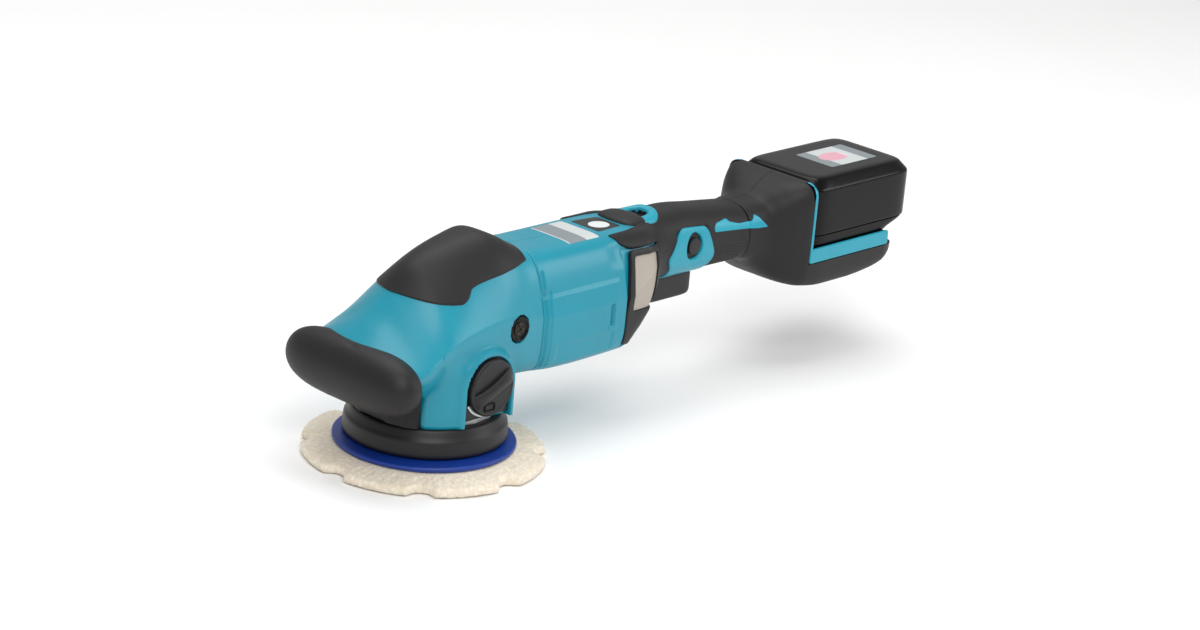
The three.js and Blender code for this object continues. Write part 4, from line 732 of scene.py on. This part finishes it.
# The pad's rim runs in and out at its notches; the profile goes from the face up round the edge and
# over the sloping top, and tufts about 3 mm across stand and sink all over it.
def padSurface():
    angle = np.arange(pad["around"]) * turn / pad["around"]
    centre = pad["radius"] + pad["notchRadius"] * 0.2
    pitch = turn / pad["notches"]
    local = (angle + pitch / 2) % pitch - pitch / 2
    off = centre * np.sin(np.abs(local))
    bite = np.sqrt(np.maximum(pad["notchRadius"] ** 2 - off ** 2, 0))
    rim = np.where(off < pad["notchRadius"], centre * np.cos(local) - bite, pad["radius"])
    rim = np.minimum(rim, pad["radius"])
    for _ in range(3):
        rim = (np.roll(rim, 1) + 2 * rim + np.roll(rim, -1)) / 4
    profile = softened([[0, 0.3], [pad["radius"] - 2.2, 0.15], [pad["radius"] - 0.4, 1.3],
                        [pad["radius"], 3.4], [pad["radius"] - 1.2, pad["edge"] + 1.6], [64, 8.2],
                        [58, pad["thick"] - 0.05], [0, pad["thick"] - 0.05]], 2.2, steps=8)
    length = np.concatenate([[0], np.cumsum(np.linalg.norm(np.diff(profile, axis=0), axis=1))])
    at = np.linspace(0, length[-1], pad["rows"])
    radius, height = [np.interp(at, length, profile[:, i])[:, None] for i in (0, 1)]
    keep = np.clip((radius - 52) / (pad["radius"] - 52), 0, 1)
    reach = radius + (rim[None] - pad["radius"]) * keep ** 0.8
    reach = np.where(rim[None] < pad["radius"], np.minimum(reach, np.maximum(rim[None], 52)), reach)
    x, y = reach * np.cos(angle), reach * np.sin(angle)
    rough = np.random.default_rng(pad["seed"])
    waves = rough.normal(size=(24, 3)) * 1.5
    phase = rough.uniform(0, turn, 24)
    tuft = sum(np.sin(w[0] * x + w[1] * y + w[2] * height + p) for w, p in zip(waves, phase)) / 24 ** 0.5
    pile = 0.3 * tuft * np.clip((reach - 58) / 6, 0, 1)
    points = np.stack([x + padX, y + padY, height + 0 * x], -1)
    points[..., 2] += np.where(points[..., 2] > 0.5, pile, 0)
    points[..., :2] += (pile * 0.8)[..., None] * np.stack([np.cos(angle), np.sin(angle)], -1)
    points[..., 2] = np.clip(points[..., 2], 0.02, pad["thick"] + 0.1)
    return points


padPiece = piece("wool_pad", [sheet(padSurface(), closed=True)], "pad", woolPile,
                 ["polishing_pad"], sharp=80)
print("skirt, backing and pad made")

# Speed change knob: a turned disc, a thumb bar across it and a small window.
knobFront = -boxOf("change_knob")[0][1]
knob = {"face": knobFront - 4, "back": -knobLow[1] + gap, "bar": 4.0, "tilt": math.radians(-25)}


def knobDisc():
    face, back = knob["face"], knob["back"]
    profile = softened([[5, -30], [5, -back], [knobRadius - 0.3, -back], [knobRadius, -back - 0.6],
                        [knobRadius, -face + 1], [knobRadius - 1.4, -face], [knobRadius - 3, -face + 0.4],
                        [0, -face + 0.4]], 0.7)
    return turned(profile, (knobX, 0, knobZ), axis=1, count=120)


def turnedAboutKnob(sheetData, angle):
    vertices, quads, fans = sheetData
    c, s = math.cos(angle), math.sin(angle)
    x, z = vertices[:, 0] - knobX, vertices[:, 2] - knobZ
    moved = np.stack([knobX + c * x + s * z, vertices[:, 1], knobZ - s * x + c * z], -1)
    return moved, quads, fans


# The thumb bar: a rib across the disc, its crest curved, its flanks leaning out to the rim.
def knobBar():
    t = np.linspace(-1, 1, 60)[:, None]
    v = np.linspace(0, 1, 24)[None]
    x = knobX + t * (knobRadius - 1.2) + 0 * v
    half = knob["bar"] + 1.6 * np.abs(t) ** 2
    across = np.cos(v * math.pi) * half
    rise = np.sin(v * math.pi) ** 0.45 * (1 - np.abs(t) ** 8)
    y = -(knob["face"] - 0.8) - rise * (4.4 - 1.0 * t ** 2)
    return turnedAboutKnob(sheet(np.stack([x, y, knobZ + across + 0 * t], -1), closed=True,
                                 caps=(True, True)), knob["tilt"])


piece("speed_knob", [knobDisc(), knobBar()], "change_knob", darkNylon, ["change_knob"],
      sharp=32)
windowOutline = roundedOutline([[knobX - 7, knobZ - 15], [knobX + 2.5, knobZ - 15],
                                [knobX + 2.5, knobZ - 9.5], [knobX - 7, knobZ - 9.5]], 1.0, step=0.4)
piece("knob_window", [plate(windowOutline, onPlane(1, -knob["face"]), [[0, -0.8], [0, 0.2], [0.2, 0.4]],
                            inner=inset(windowOutline, 1.0))], "change_knob", blackNylon)


# The plate behind the knob follows the arch, and carries a pale crescent under the knob.
def plateOutline(radius, low):
    bend = np.linspace(0, math.pi, 60)
    return resample(np.vstack([np.stack([knobX + radius * np.cos(bend), knobZ + radius * np.sin(bend)], -1),
                               [[knobX - radius, low], [knobX + radius, low]]]), 1.2)


piece("knob_back_plate", [plate(plateOutline(knobRadius + 1.2, 35.5), onPlane(1, -45.2),
                                [[0, -2], [0, 0.2], [0.4, 0.4]])],
      "housing", darkNylon, ["knob_plate"])
# A flat white crescent sheet lies on the plate under the knob.
lower = np.linspace(math.radians(212), math.radians(318), 40)
upper = lower[::-1]
crescent = np.vstack([np.stack([knobX + 20.3 * np.cos(lower), knobZ + 20.3 * np.sin(lower)], -1),
                      np.stack([knobX + 18.6 * np.cos(upper), knobZ - 0.3 + 18.6 * np.sin(upper)], -1)])
piece("knob_crescent", [plate(resample(crescent, 1.0), onPlane(1, -45.7),
                               [[0, -0.2], [0, 0.05], [0.1, 0.1]],
                               spine=[[knobX - 10, knobZ - 16.5], [knobX + 9, knobZ - 17]])],
      "housing", whiteMark)

# Side plugs, each with a cross-slotted screw sunk in it. The cross slots are not cut: thin black sheets on
# each screw's face are painted shade where the slots would be.
for node, side in (("side_plug_left", -1), ("side_plug_right", 1)):
    low, high = boxOf(node)
    middle = (low + high) / 2
    reach = max(abs(low[1]), abs(high[1]))
    radius = plug["radius"]
    cup = softened([[radius, side * plug["floor"]], [radius, side * (reach - 1.2)],
                    [radius - 0.8, side * (reach - 0.5)], [radius - 2.2, side * (reach - 1.8)],
                    [0, side * (reach - 1.8)]], 0.5)
    piece(f"{node}_cap", [turned(cup, (middle[0], 0, middle[2]), axis=1, count=64)], "housing",
          blackNylon, [node])
    screw = softened([[4.6, side * (reach - 2.6)], [4.6, side * (reach - 1.2)], [3.6, side * (reach - 0.6)],
                      [0, side * (reach - 0.5)]], 0.4)
    piece(f"{node}_screw", [turned(screw, (middle[0], 0, middle[2]), axis=1, count=48)], "housing",
          darkSteel)
    # Painted shade: each arm of the cross slot is a thin black sheet laid on the screw's face, standing for
    # the shade in the groove.
    slot = roundedOutline([[-3.6, -0.6], [3.6, -0.6], [3.6, 0.6], [-3.6, 0.6]], 0.3, step=0.4)
    for number, tilt in enumerate((0.5, 0.5 + math.pi / 2)):
        turnBy = np.array([[math.cos(tilt), math.sin(tilt)], [-math.sin(tilt), math.cos(tilt)]])
        cut = plate(slot @ turnBy + middle[[0, 2]], onPlane(1, side * (reach - 0.5)),
                    [[0, -0.5], [0, 0.02], [0.05, 0.06]])
        piece(f"{node}_slot_shade_{number}", [cut], "housing", blackNylon)
print("knob and plugs made")

# Motor housing.
motorBody = {"step": 0.8, "around": 150, "wall": 2.4}
windowLow, windowHigh = boxOf("filter_mesh_left")
filterLow, filterHigh = boxOf("filter_frame_left")


# Panels and grooves of the side wall, in millimetres outwards, at a place along and up the wall.
def housingRelief(x, z, top):
    groove = -1.1 * band(x, seamX + 2.2, seamX + 4.6, 0.8) * band(z, motorZ - 35, motorZ + 30, 2)
    notch = -0.9 * band(x, seamX + 0.5, seamX + 9, 1.5) * band(z, motorZ + 14, motorZ + 18, 1.4)
    panel = 0.8 * band(x, seamX + 7.5, collarX - 44, 1.2) * band(z, motorZ - 34, motorZ + 14, 1.4)
    lowPanel = -0.7 * band(x, seamX + 14, collarX - 50, 2) * band(z, motorZ - 31, motorZ - 20, 2)
    slot = -2.2 * band(x, collarX - 53.5, collarX - 50.5, 0.8) * band(z, motorZ - 15, motorZ - 1, 1.2)
    ledge = 0.6 * band(x, collarX - 55.5, collarX - 48.5, 1.0) * band(z, motorZ - 18.5, motorZ - 15.5, 1.2)
    facet = -1.6 * ramp(x, collarX - 48, 14) * ramp(z, motorZ + 24, 10) * (1 - ramp(z, top - 6, 6))
    return groove + notch + panel + lowPanel + slot + ledge + facet


def housingSurface(side):
    x = spaced(seamX, collarX, motorBody["step"])[:, None]
    angle = np.linspace(-math.pi / 2, math.pi / 2, motorBody["around"])[None]
    base = sectionPoint(housingForm, x, angle)
    top = formAt(housingForm, x)[0]
    relief = housingRelief(base[..., 0], base[..., 2], top)
    flat = base[..., 1] > 8
    pocket = band(base[..., 0], filterLow[0] - 0.2, filterHigh[0] + 6, 0.6)
    pocket = pocket * band(base[..., 2], filterLow[2] - 1, filterHigh[2] + 0.2, 0.6)
    lift = np.where(flat, relief, 0) * (1 - pocket) - 2.2 * pocket * flat
    start = np.clip((base[..., 0] - seamX) / 1.2, 0, 1)
    lift = lift - 0.8 * (1 - np.sqrt(np.clip(1 - (1 - start) ** 2, 0, 1)))
    points = base + normalsOf(base) * lift[..., None]
    points[..., 1] = np.maximum(points[..., 1], 0.12)
    points[..., 1] *= side
    return points


# Handle grip: the same form on to the tail, with a slot for the trigger and one for the dial.
triggerLow, triggerHigh = boxOf("trigger")
dialLow, dialHigh = boxOf("speed_dial")
dialX, dialZ = (dialLow[0] + dialHigh[0]) / 2, (dialLow[2] + dialHigh[2]) / 2
buttonLow, buttonHigh = boxOf("lock_button")
buttonX, buttonZ = (buttonLow[0] + buttonHigh[0]) / 2, (buttonLow[2] + buttonHigh[2]) / 2
bezelCorners = keyed(buttonX, buttonZ, [[-20.5, -26], [6.5, -27], [17.5, -21], [23, -10], [18, 1],
                                        [13.5, 12], [-13.5, 14.5], [-22.5, -1.5], [-26, -6], [-21, -14]])
handle = {"step": 0.8, "around": 150, "wall": 1.8, "rib": 2.4, "room": 0.9}


def gripSurface(side):
    x = spaced(collarX + gap, handleEnd, handle["step"])[:, None]
    angle = np.linspace(-math.pi / 2, math.pi / 2, handle["around"])[None]
    base = sectionPoint(housingForm, x, angle)
    bx, by, bz = base[..., 0], base[..., 1], base[..., 2]
    ribs = 0.35 * np.cos(bz / handle["rib"] * turn) * band(bx, handleEnd - 40, handleEnd - 6, 6)
    ribs = ribs * band(bz, motorZ - 3, motorZ + 14, 3)
    bezel = band(bx, buttonX - 17, buttonX + 15, 3) * band(bz, buttonZ - 26, buttonZ + 12, 3)
    lift = np.where(by > 6, ribs * (1 - bezel) - 1.6 * bezel, 0)
    points = base + normalsOf(base) * lift[..., None]
    room = handle["room"]
    inTrigger = band(bx, triggerLow[0] - room, triggerHigh[0] + room, 0.4)
    inTrigger = inTrigger * (points[..., 1] < triggerHigh[1] + room) * (bz < motorZ + 4)
    points[..., 2] = np.where(inTrigger > 0.5, np.maximum(points[..., 2], motorZ + 3.5), points[..., 2])
    inDial = band(bx, dialX - 9, dialX + 9.5, 0.4) * (by < dialHigh[1] + 1.2) * (bz > motorZ + 20)
    points[..., 2] = np.where(inDial > 0.5, np.minimum(points[..., 2], dialZ - 6), points[..., 2])
    points[..., 1] = np.maximum(points[..., 1], 0.12)
    points[..., 1] *= side
    return points


# Two rings with the same bearings from a centre: an outline, and a superellipse hole inside it that
# slants by a share of its height.
def matched(outline, centre, half, power, slant=0.0):
    bearing = np.arctan2(outline[:, 1] - centre[1], outline[:, 0] - centre[0])
    order = np.argsort(bearing)
    cosine, sine = np.cos(bearing[order]), np.sin(bearing[order])
    reach = ((np.abs(cosine) / half[0]) ** power + (np.abs(sine) / half[1]) ** power) ** (-1 / power)
    hole = np.stack([centre[0] + reach * (cosine + slant * sine), centre[1] + reach * sine], -1)
    return outline[order], hole


for side, name in ((-1, "left"), (1, "right")):
    piece(f"motor_shell_{name}", [sheet(housingSurface(side))], "housing", tealNylon,
          [f"housing_{name}"], wall=motorBody["wall"], sharp=45)
    piece(f"handle_grip_{name}", [sheet(gripSurface(side))], "housing", softRubber,
          [f"grip_{name}"], wall=handle["wall"], sharp=50)
    surface = onSide(housingForm, side)
    outline, hole = matched(roundedOutline(bezelCorners, 5), (buttonX, buttonZ), (8.0, 9.6), 2)
    rim = plate(outline, surface, [[0, -1.8], [0, 0.2], [0.35, 0.7], [1.0, 0.9]], inner=hole, rows=16)
    piece(f"switch_plate_{name}", [rim], "housing", tealTrim, [f"switch_bezel_{name}"],
          sharp=50)
    well = plate(ellipse((buttonX, buttonZ), (8.4, 10.0)), surface, [[0, -2.4], [0, -1.3], [0.3, -1.2]],
                 back=-2.6)
    piece(f"button_well_{name}", [well], "housing", softRubber)
    frontX, rearX = filterLow[0], filterHigh[0]
    corners = [[frontX, filterLow[2]], [frontX + 10, filterLow[2]], [rearX, filterLow[2] + 28],
               [rearX + 1, filterHigh[2] - 2], [frontX + 7, filterHigh[2] - 2], [frontX, filterLow[2] + 22]]
    centre = (windowLow + windowHigh) / 2
    half = (windowHigh - windowLow) / 2 + gap
    outline, hole = matched(roundedOutline(corners, 2.5), centre[[0, 2]], half[[0, 2]], 14, 0.12)
    surround = plate(outline, surface, [[0, -1.8], [0, 0.2], [0.3, 0.7], [1.0, 0.85]], inner=hole)
    piece(f"filter_surround_{name}", [surround], f"filter_{name}", darkNylon,
          [f"filter_frame_{name}"], sharp=45)
    cloth = plate(inset(hole, -0.6), surface, [[0, -1.3], [0, -0.75], [0.2, -0.7]], back=-1.6, rows=16)
    piece(f"filter_cloth_{name}", [cloth], f"filter_{name}", meshCloth, [f"filter_mesh_{name}"])
    stripe = keyed(handleEnd, motorZ, [[-37, 23], [-37, 26], [-34.5, 28.5], [-23.2, 29.8], [-20.5, 27.3],
                                       [-10.8, 24.5], [2.3, 24], [5.6, 28.2], [9, 25.9], [16.3, 18.4],
                                       [6.7, 18.6], [-10, 20.5]])
    stripeSpine = keyed(handleEnd, motorZ, [[-35, 25], [11, 20.5]])
    mark = plate(roundedOutline(stripe, 1.2), alongHandle(side), [[0, -0.8], [0, 0.25], [0.2, 0.4]],
                 spine=stripeSpine)
    piece(f"handle_stripe_{name}", [mark], "housing", tealTrim)
print("housing and handle made")

# Trigger, lock button and dial.
leverTop = triggerHigh - [0, 0, 1.6]  # stays under the switch's plunger when it is pressed
piece("trigger_lever", [roundedBlock(triggerLow, leverTop, 7)], "trigger", darkNylon,
      ["trigger"], sharp=60)
buttonRadius = (buttonHigh[0] - buttonLow[0]) / 2
nearEnd, farEnd = buttonLow[1], buttonHigh[1]
buttonProfile = softened([[0, nearEnd], [buttonRadius - 0.2, nearEnd], [buttonRadius, nearEnd + 1],
                          [buttonRadius, farEnd - 1], [buttonRadius - 0.2, farEnd], [0, farEnd]], 0.8)
piece("lock_off_button", [turned(buttonProfile, (buttonX, 0, buttonZ), axis=1, count=72)], "lock_button",
      darkNylon, ["lock_button"])
dialRadius = (dialHigh[2] - dialLow[2]) / 2
dialHalf = dialHigh[1]


def knurled(radius, along, angle):  # 36 shallow grooves along the rim
    return radius - 0.45 * (radius > dialRadius - 1) * (np.cos(angle * 36) > 0)


dialProfile = softened([[2.3, -dialHalf], [dialRadius - 0.8, -dialHalf], [dialRadius, -dialHalf + 0.8],
                        [dialRadius, dialHalf - 0.8], [dialRadius - 0.8, dialHalf], [2.3, dialHalf]], 0.5)
dialProfile = np.vstack([dialProfile, dialProfile[:1]])
piece("speed_thumbwheel", [turned(dialProfile, (dialX, 0, dialZ), axis=1, count=288, ripple=knurled)],
      "speed_dial", blackNylon, ["speed_dial"], sharp=40)

topSurface = onTop(housingForm)
cowl = np.array([[dialX - 9, -15.5], [dialX + 8, -15.5], [dialX + 15.5, -10], [dialX + 18, 0],
                 [dialX + 15.5, 10], [dialX + 8, 15.5], [dialX - 9, 15.5]])
cowlOutline, cowlHole = matched(roundedOutline(cowl, 6), (dialX - 1, 0), (11.5, 7.5), 3.2)
cowlRim = plate(cowlOutline, topSurface, [[0, -1.6], [0, 0.8], [0.6, 1.8], [1.8, 2.3]], inner=cowlHole)
piece("dial_cowl", [cowlRim], "housing", tealTrim, sharp=60)
print("controls made")

# Soft collar that reaches forward over the housing's shoulders, and a crest before the dial.
wedge = roundedOutline(keyed(collarX, 0, [[-44, 54], [-38, 43], [-29, 38], [-12, 35], [3, 32], [3, 70],
                                          [-11, 60], [-25, 55.5]]), 3)
for side, name in ((-1, "left"), (1, "right")):
    shoulder = plate(wedge, overShoulder(housingForm, side), [[0, -1], [0, 0.2], [0.4, 0.7], [1.6, 0.9]],
                     spine=keyed(collarX, 0, [[-38, 51], [-2, 50]]), rows=12)
    piece(f"collar_wedge_{name}", [shoulder], "housing", softRubber)
crest = roundedBlock((collarX - 19, -17, motorZ + 34), (collarX + 4, 17, motorZ + 43.6), 3.0)
piece("collar_crest", [crest], "housing", softRubber)

# Blank labels on top of the housing.
labelEdge = [[0, -0.4], [0, 0.06], [0.1, 0.1]]
labelSheet = keyed(seamX, 0, [[38, -20], [67, -20], [67, 16], [38, 16]])
piece("data_label", [plate(roundedOutline(labelSheet, 1.5), topSurface, labelEdge, rows=14)],
      "housing", paleLabel)
labelDark = keyed(seamX, 0, [[72, -14], [96, -12], [96, 10], [72, 12]])
piece("dark_label", [plate(roundedOutline(labelDark, 2), topSurface, labelEdge, rows=14)],
      "housing", darkLabel)
oval = plate(ellipse((seamX + 84, -3), (8, 6.5)), topSurface, [[0, -0.2], [0, 0.16], [0.1, 0.2]], rows=10)
piece("pale_oval", [oval], "housing", whiteMark)
print("labels made")

# Tail: a concave flare from the handle out to the dock, running on as the platform under the battery.
platformLow, platformHigh = boxOf("tail_shell_left")
platformEnd, platformTop = platformHigh[0] - 4, motorZ - 10
tail = {"around": 130, "end": 16.0}
tailBody = {
    "top": tailForm["top"] + [[platformEnd, motorZ + 48]],
    "bottom": tailForm["bottom"][:-1]
    + keyed(dockX, motorZ, [[0, -28.8], [20, -30.2], [45, -30.2]])
    + keyed(platformEnd, motorZ, [[-28, -28.4], [-12, -25], [-4, -21.5], [0, -18]]),
    "half": tailForm["half"][:-1] + [[dockX, 40.4], [dockX + 14, 41.2], [platformEnd - 16, 41],
                                     [platformEnd - 6, 38.5], [platformEnd - 2, 34], [platformEnd, 28]],
    "square": tailForm["square"] + [[dockX + 20, 9], [platformEnd, 9]],
    "lean": [[handleEnd, 0], [platformEnd, 0]],
}


# Half of the tail as one closed solid: past the dock the section is cut off flat under the battery, and
# its rows return along the middle plane.
def tailHalf(side):
    ends = platformEnd - tail["end"] + tail["end"] * np.sin(np.linspace(0, 1, 40) * math.pi / 2)
    x = np.concatenate([spaced(handleEnd + gap, dockX, 0.7), [dockX + 0.02],
                        spaced(dockX + 2, platformEnd - tail["end"], 2.0)[:-1], ends])
    angle = np.linspace(-math.pi / 2, math.pi / 2, tail["around"])[None]
    points = sectionPoint(tailBody, x[:, None], angle)
    under = (x > dockX + 0.01)[:, None]
    points[..., 2] = np.where(under, np.minimum(points[..., 2], platformTop), points[..., 2])
    points[..., 1] = np.maximum(points[..., 1], 0.12) * side
    ring = np.concatenate([points, points[:, ::-1] * [1, 0, 1] + [0, 0.12 * side, 0]], axis=1)
    return sheet(ring, closed=True, caps=(True, True))


for side, name in ((-1, "left"), (1, "right")):
    piece(f"tail_half_{name}", [tailHalf(side)], "housing", softRubber,
          [f"tail_shell_{name}"], sharp=45)

# Teal strip along the side of the rail bed, and the thin trim that goes on up the dock's edge and
# turns in over its corner.
bedLow, bedHigh = boxOf("rail_bed")
bedTop = motorZ - 0.5
trim = {"reach": bedHigh[1] + 0.1, "stripTop": bedTop + 1.2, "corner": 9.0, "wide": 2.4, "thick": 0.4}


def dockTrim(side):
    reach, corner, top = trim["reach"], trim["corner"], bedHigh[2] - 0.1
    bend = np.linspace(0, math.pi / 2, 16)
    y = np.concatenate([np.full(20, reach), reach - corner + corner * np.cos(bend[1:])])
    z = np.concatenate([np.linspace(bedTop - 4, top - corner, 20),
                        top - corner + corner * np.sin(bend[1:])])
    out = np.concatenate([np.tile([1.0, 0], (20, 1)),
                          np.stack([np.cos(bend[1:]), np.sin(bend[1:])], -1)])
    wide, thick = trim["wide"], trim["thick"]
    section = roundedOutline([[0, -1], [wide, -1], [wide, thick], [0, thick]], 0.5, step=0.4)
    points = np.stack([dockX + gap + section[None, :, 0] + 0 * y[:, None],
                       side * (y[:, None] + out[:, :1] * section[None, :, 1]),
                       z[:, None] + out[:, 1:] * section[None, :, 1]], -1)
    return sheet(points, closed=True, caps=(True, True))


stripOutline = roundedOutline([[dockX + gap, bedLow[2] + 0.2], [bedHigh[0], bedLow[2] + 0.2],
                               [bedHigh[0], trim["stripTop"]], [dockX + gap, trim["stripTop"]]], 2.0)
for side, name in ((-1, "left"), (1, "right")):
    strip = plate(stripOutline, onPlane(1, side * trim["reach"]), [[0, -1.2], [0, 0.3], [0.4, 0.7]],
                  spine=[[dockX + 6, bedTop - 4], [bedHigh[0] - 6, bedTop - 4]])
    piece(f"rail_strip_{name}", [strip, dockTrim(side)], "housing", tealTrim, sharp=50)
print("tail made")

# Battery.
batteryLow, batteryHigh = boxOf("battery_case")


# The case in plan is a rounded rectangle; going up, its wall stands straight, then leans in over a
# chamfer, and the top closes flat. Low down its rear end is drawn in by tuck millimetres.
def batteryShell(low, high, levels, tuck=0.0, count=260):
    angle = np.arange(count) * turn / count
    power = 9
    rings = []
    for shrink, z in levels:
        pulled = tuck * ramp(-z, -(low[2] + high[2]) / 2, high[2] - low[2])
        a, b = (high[0] - low[0] - pulled) / 2 - shrink, (high[1] - low[1]) / 2 - shrink
        r = ((np.abs(np.cos(angle)) / a) ** power + (np.abs(np.sin(angle)) / b) ** power) ** (-1 / power)
        rings.append(np.stack([(low[0] + high[0] - pulled) / 2 + r * np.cos(angle), r * np.sin(angle),
                               z + 0 * angle], -1))
    share = np.linspace(0, 1, 12)[:, None, None]
    base, top = rings[0].mean(axis=0), rings[-1].mean(axis=0)
    under = base + (rings[0] - base) * share[:-1]
    inner = top + (rings[-1] - top) * share[::-1][1:]
    return sheet(np.concatenate([under, np.stack(rings), inner]), closed=True)


splitZ = batteryLow[2]
caseTop = batteryHigh[2]
caseLevels = softened([[0.5, splitZ], [0, splitZ + 0.5], [0, caseTop - 7.5], [5.6, caseTop - 0.6],
                       [8.5, caseTop]], 1.6, steps=6)
piece("battery_housing", [batteryShell(batteryLow, batteryHigh, caseLevels)], "battery",
      blackNylon, ["battery_case"], sharp=50)
trayLow = np.array([batteryLow[0], batteryLow[1], bedTop + gap])
trayHigh = np.array([batteryHigh[0] - 2, batteryHigh[1], splitZ - 0.1])
trayZ = np.linspace(trayLow[2] + 0.6, trayHigh[2] - 0.4, 14)
trayLevels = [[0.6, trayLow[2]]] + [[0, z] for z in trayZ] + [[0.5, trayHigh[2]]]
piece("battery_tray", [batteryShell(trayLow, trayHigh, trayLevels, tuck=18.0)], "battery",
      blackNylon, ["battery_base"], sharp=50)
topPlane = onPlane(2, caseTop)
labelX = (batteryLow[0] + batteryHigh[0]) / 2 + 10
corners = [[labelX - 25, -18], [labelX + 25, -18], [labelX + 25, 16], [labelX - 25, 16]]
packLabel = plate(roundedOutline(corners, 1.5), topPlane, [[0, -0.3], [0, 0.05], [0.1, 0.08]])
piece("battery_label", [packLabel], "battery", paleLabel)
patch = plate(ellipse((labelX - 4, -1), (13, 8)), topPlane, [[0, -0.1], [0, 0.1], [0.1, 0.12]])
piece("battery_label_patch", [patch], "battery", roseMark)
print("battery made")

# CAD nodes that keep their shape and only get a material.
kept = {
    steel: ["pad_bolt", "pad_spindle", "pad_gear", "pad_bearing", "drive_spindle", "counterweight",
            "bevel_wheel", "spindle_lower_bearing", "spindle_upper_bearing", "ring_gear",
            "motor_pinion", "rotor_shaft", "motor_front_bearing", "motor_rear_bearing", "dial_post"],
    castAlloy: ["gear_case", "controller"],
    lamination: ["rotor_core", "stator_core"],
    copper: ["stator_winding_front", "stator_winding_rear"],
    darkNylon: ["motor_fan", "rear_bearing_plate", "switch_body", "terminal_block", "battery_release"],
    blackNylon: ["rail_bed"],
    cellWrap: ["cell_pack"],
}
for material, names in kept.items():
    for name in names:
        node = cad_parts[name]
        node.data.materials.clear()
        node.data.materials.append(material)

# Floor, light and camera.
floorMaterial, floorTree, floorShader, floorPlace = startMaterial("pale_floor")
floorNoise = add(floorTree, "ShaderNodeTexNoise", {"Vector": floorPlace, "Scale": 3.0})
floorTint = add(floorTree, "ShaderNodeValToRGB", {"Fac": floorNoise.outputs["Fac"]})
floorTint.color_ramp.elements[0].color = linear("#F4F4F3")
floorTint.color_ramp.elements[1].color = linear("#FAFAFA")
floorTree.links.new(floorTint.outputs["Color"], floorShader.inputs["Base Color"])
floorShader.inputs["Roughness"].default_value = 0.9
floorMesh = bpy.data.meshes.new("floor")
wide, level = 6, -0.0003
floorMesh.from_pydata([(-wide, -wide, level), (wide, -wide, level), (wide, wide, level),
                       (-wide, wide, level)], [], [(0, 1, 2, 3)])
floorPiece = bpy.data.objects.new("floor", floorMesh)
bpy.context.scene.collection.objects.link(floorPiece)
floorMesh.materials.append(floorMaterial)

world = bpy.data.worlds.new("studio")
bpy.context.scene.world = world
world.use_nodes = True
world.node_tree.nodes["Background"].inputs["Color"].default_value = (1, 1, 1, 1)
world.node_tree.nodes["Background"].inputs["Strength"].default_value = 0.5

aim = Vector((0.0921, -0.0602, 0.0920))
lamps = {
    "key": {"place": (-0.9, -1.3, 1.7), "size": 1.3, "power": 24},
    "top": {"place": (0.3, 0.4, 1.8), "size": 1.6, "power": 20},
    "side": {"place": (1.6, -1.4, 0.9), "size": 0.9, "power": 9},
}
for name, lamp in lamps.items():
    light = bpy.data.lights.new(name, "AREA")
    light.size, light.energy = lamp["size"], lamp["power"]
    lampPiece = bpy.data.objects.new(name, light)
    bpy.context.scene.collection.objects.link(lampPiece)
    lampPiece.location = lamp["place"]
    lampPiece.rotation_euler = (aim - lampPiece.location).to_track_quat("-Z", "Y").to_euler()

view = {"azimuth": math.radians(-48.3), "elevation": math.radians(19.1), "roll": math.radians(5.1),
        "distance": 2.289, "lens": 106.35}
azimuth, elevation, roll = view["azimuth"], view["elevation"], view["roll"]
right = Vector((math.cos(azimuth), math.sin(azimuth), 0))
back = Vector((math.sin(azimuth) * math.cos(elevation), -math.cos(azimuth) * math.cos(elevation),
               math.sin(elevation)))
up = back.cross(right)
axes = [math.cos(roll) * right + math.sin(roll) * up, -math.sin(roll) * right + math.cos(roll) * up, back]
camera = bpy.data.cameras.new("camera")
camera.lens, camera.sensor_width = view["lens"], 36
cameraPiece = bpy.data.objects.new("camera", camera)
bpy.context.scene.collection.objects.link(cameraPiece)
facing = Matrix(axes).transposed().to_4x4()
cameraPiece.matrix_world = Matrix.Translation(aim + back * view["distance"]) @ facing
bpy.context.scene.camera = cameraPiece
bpy.context.scene.view_settings.view_transform = "Standard"
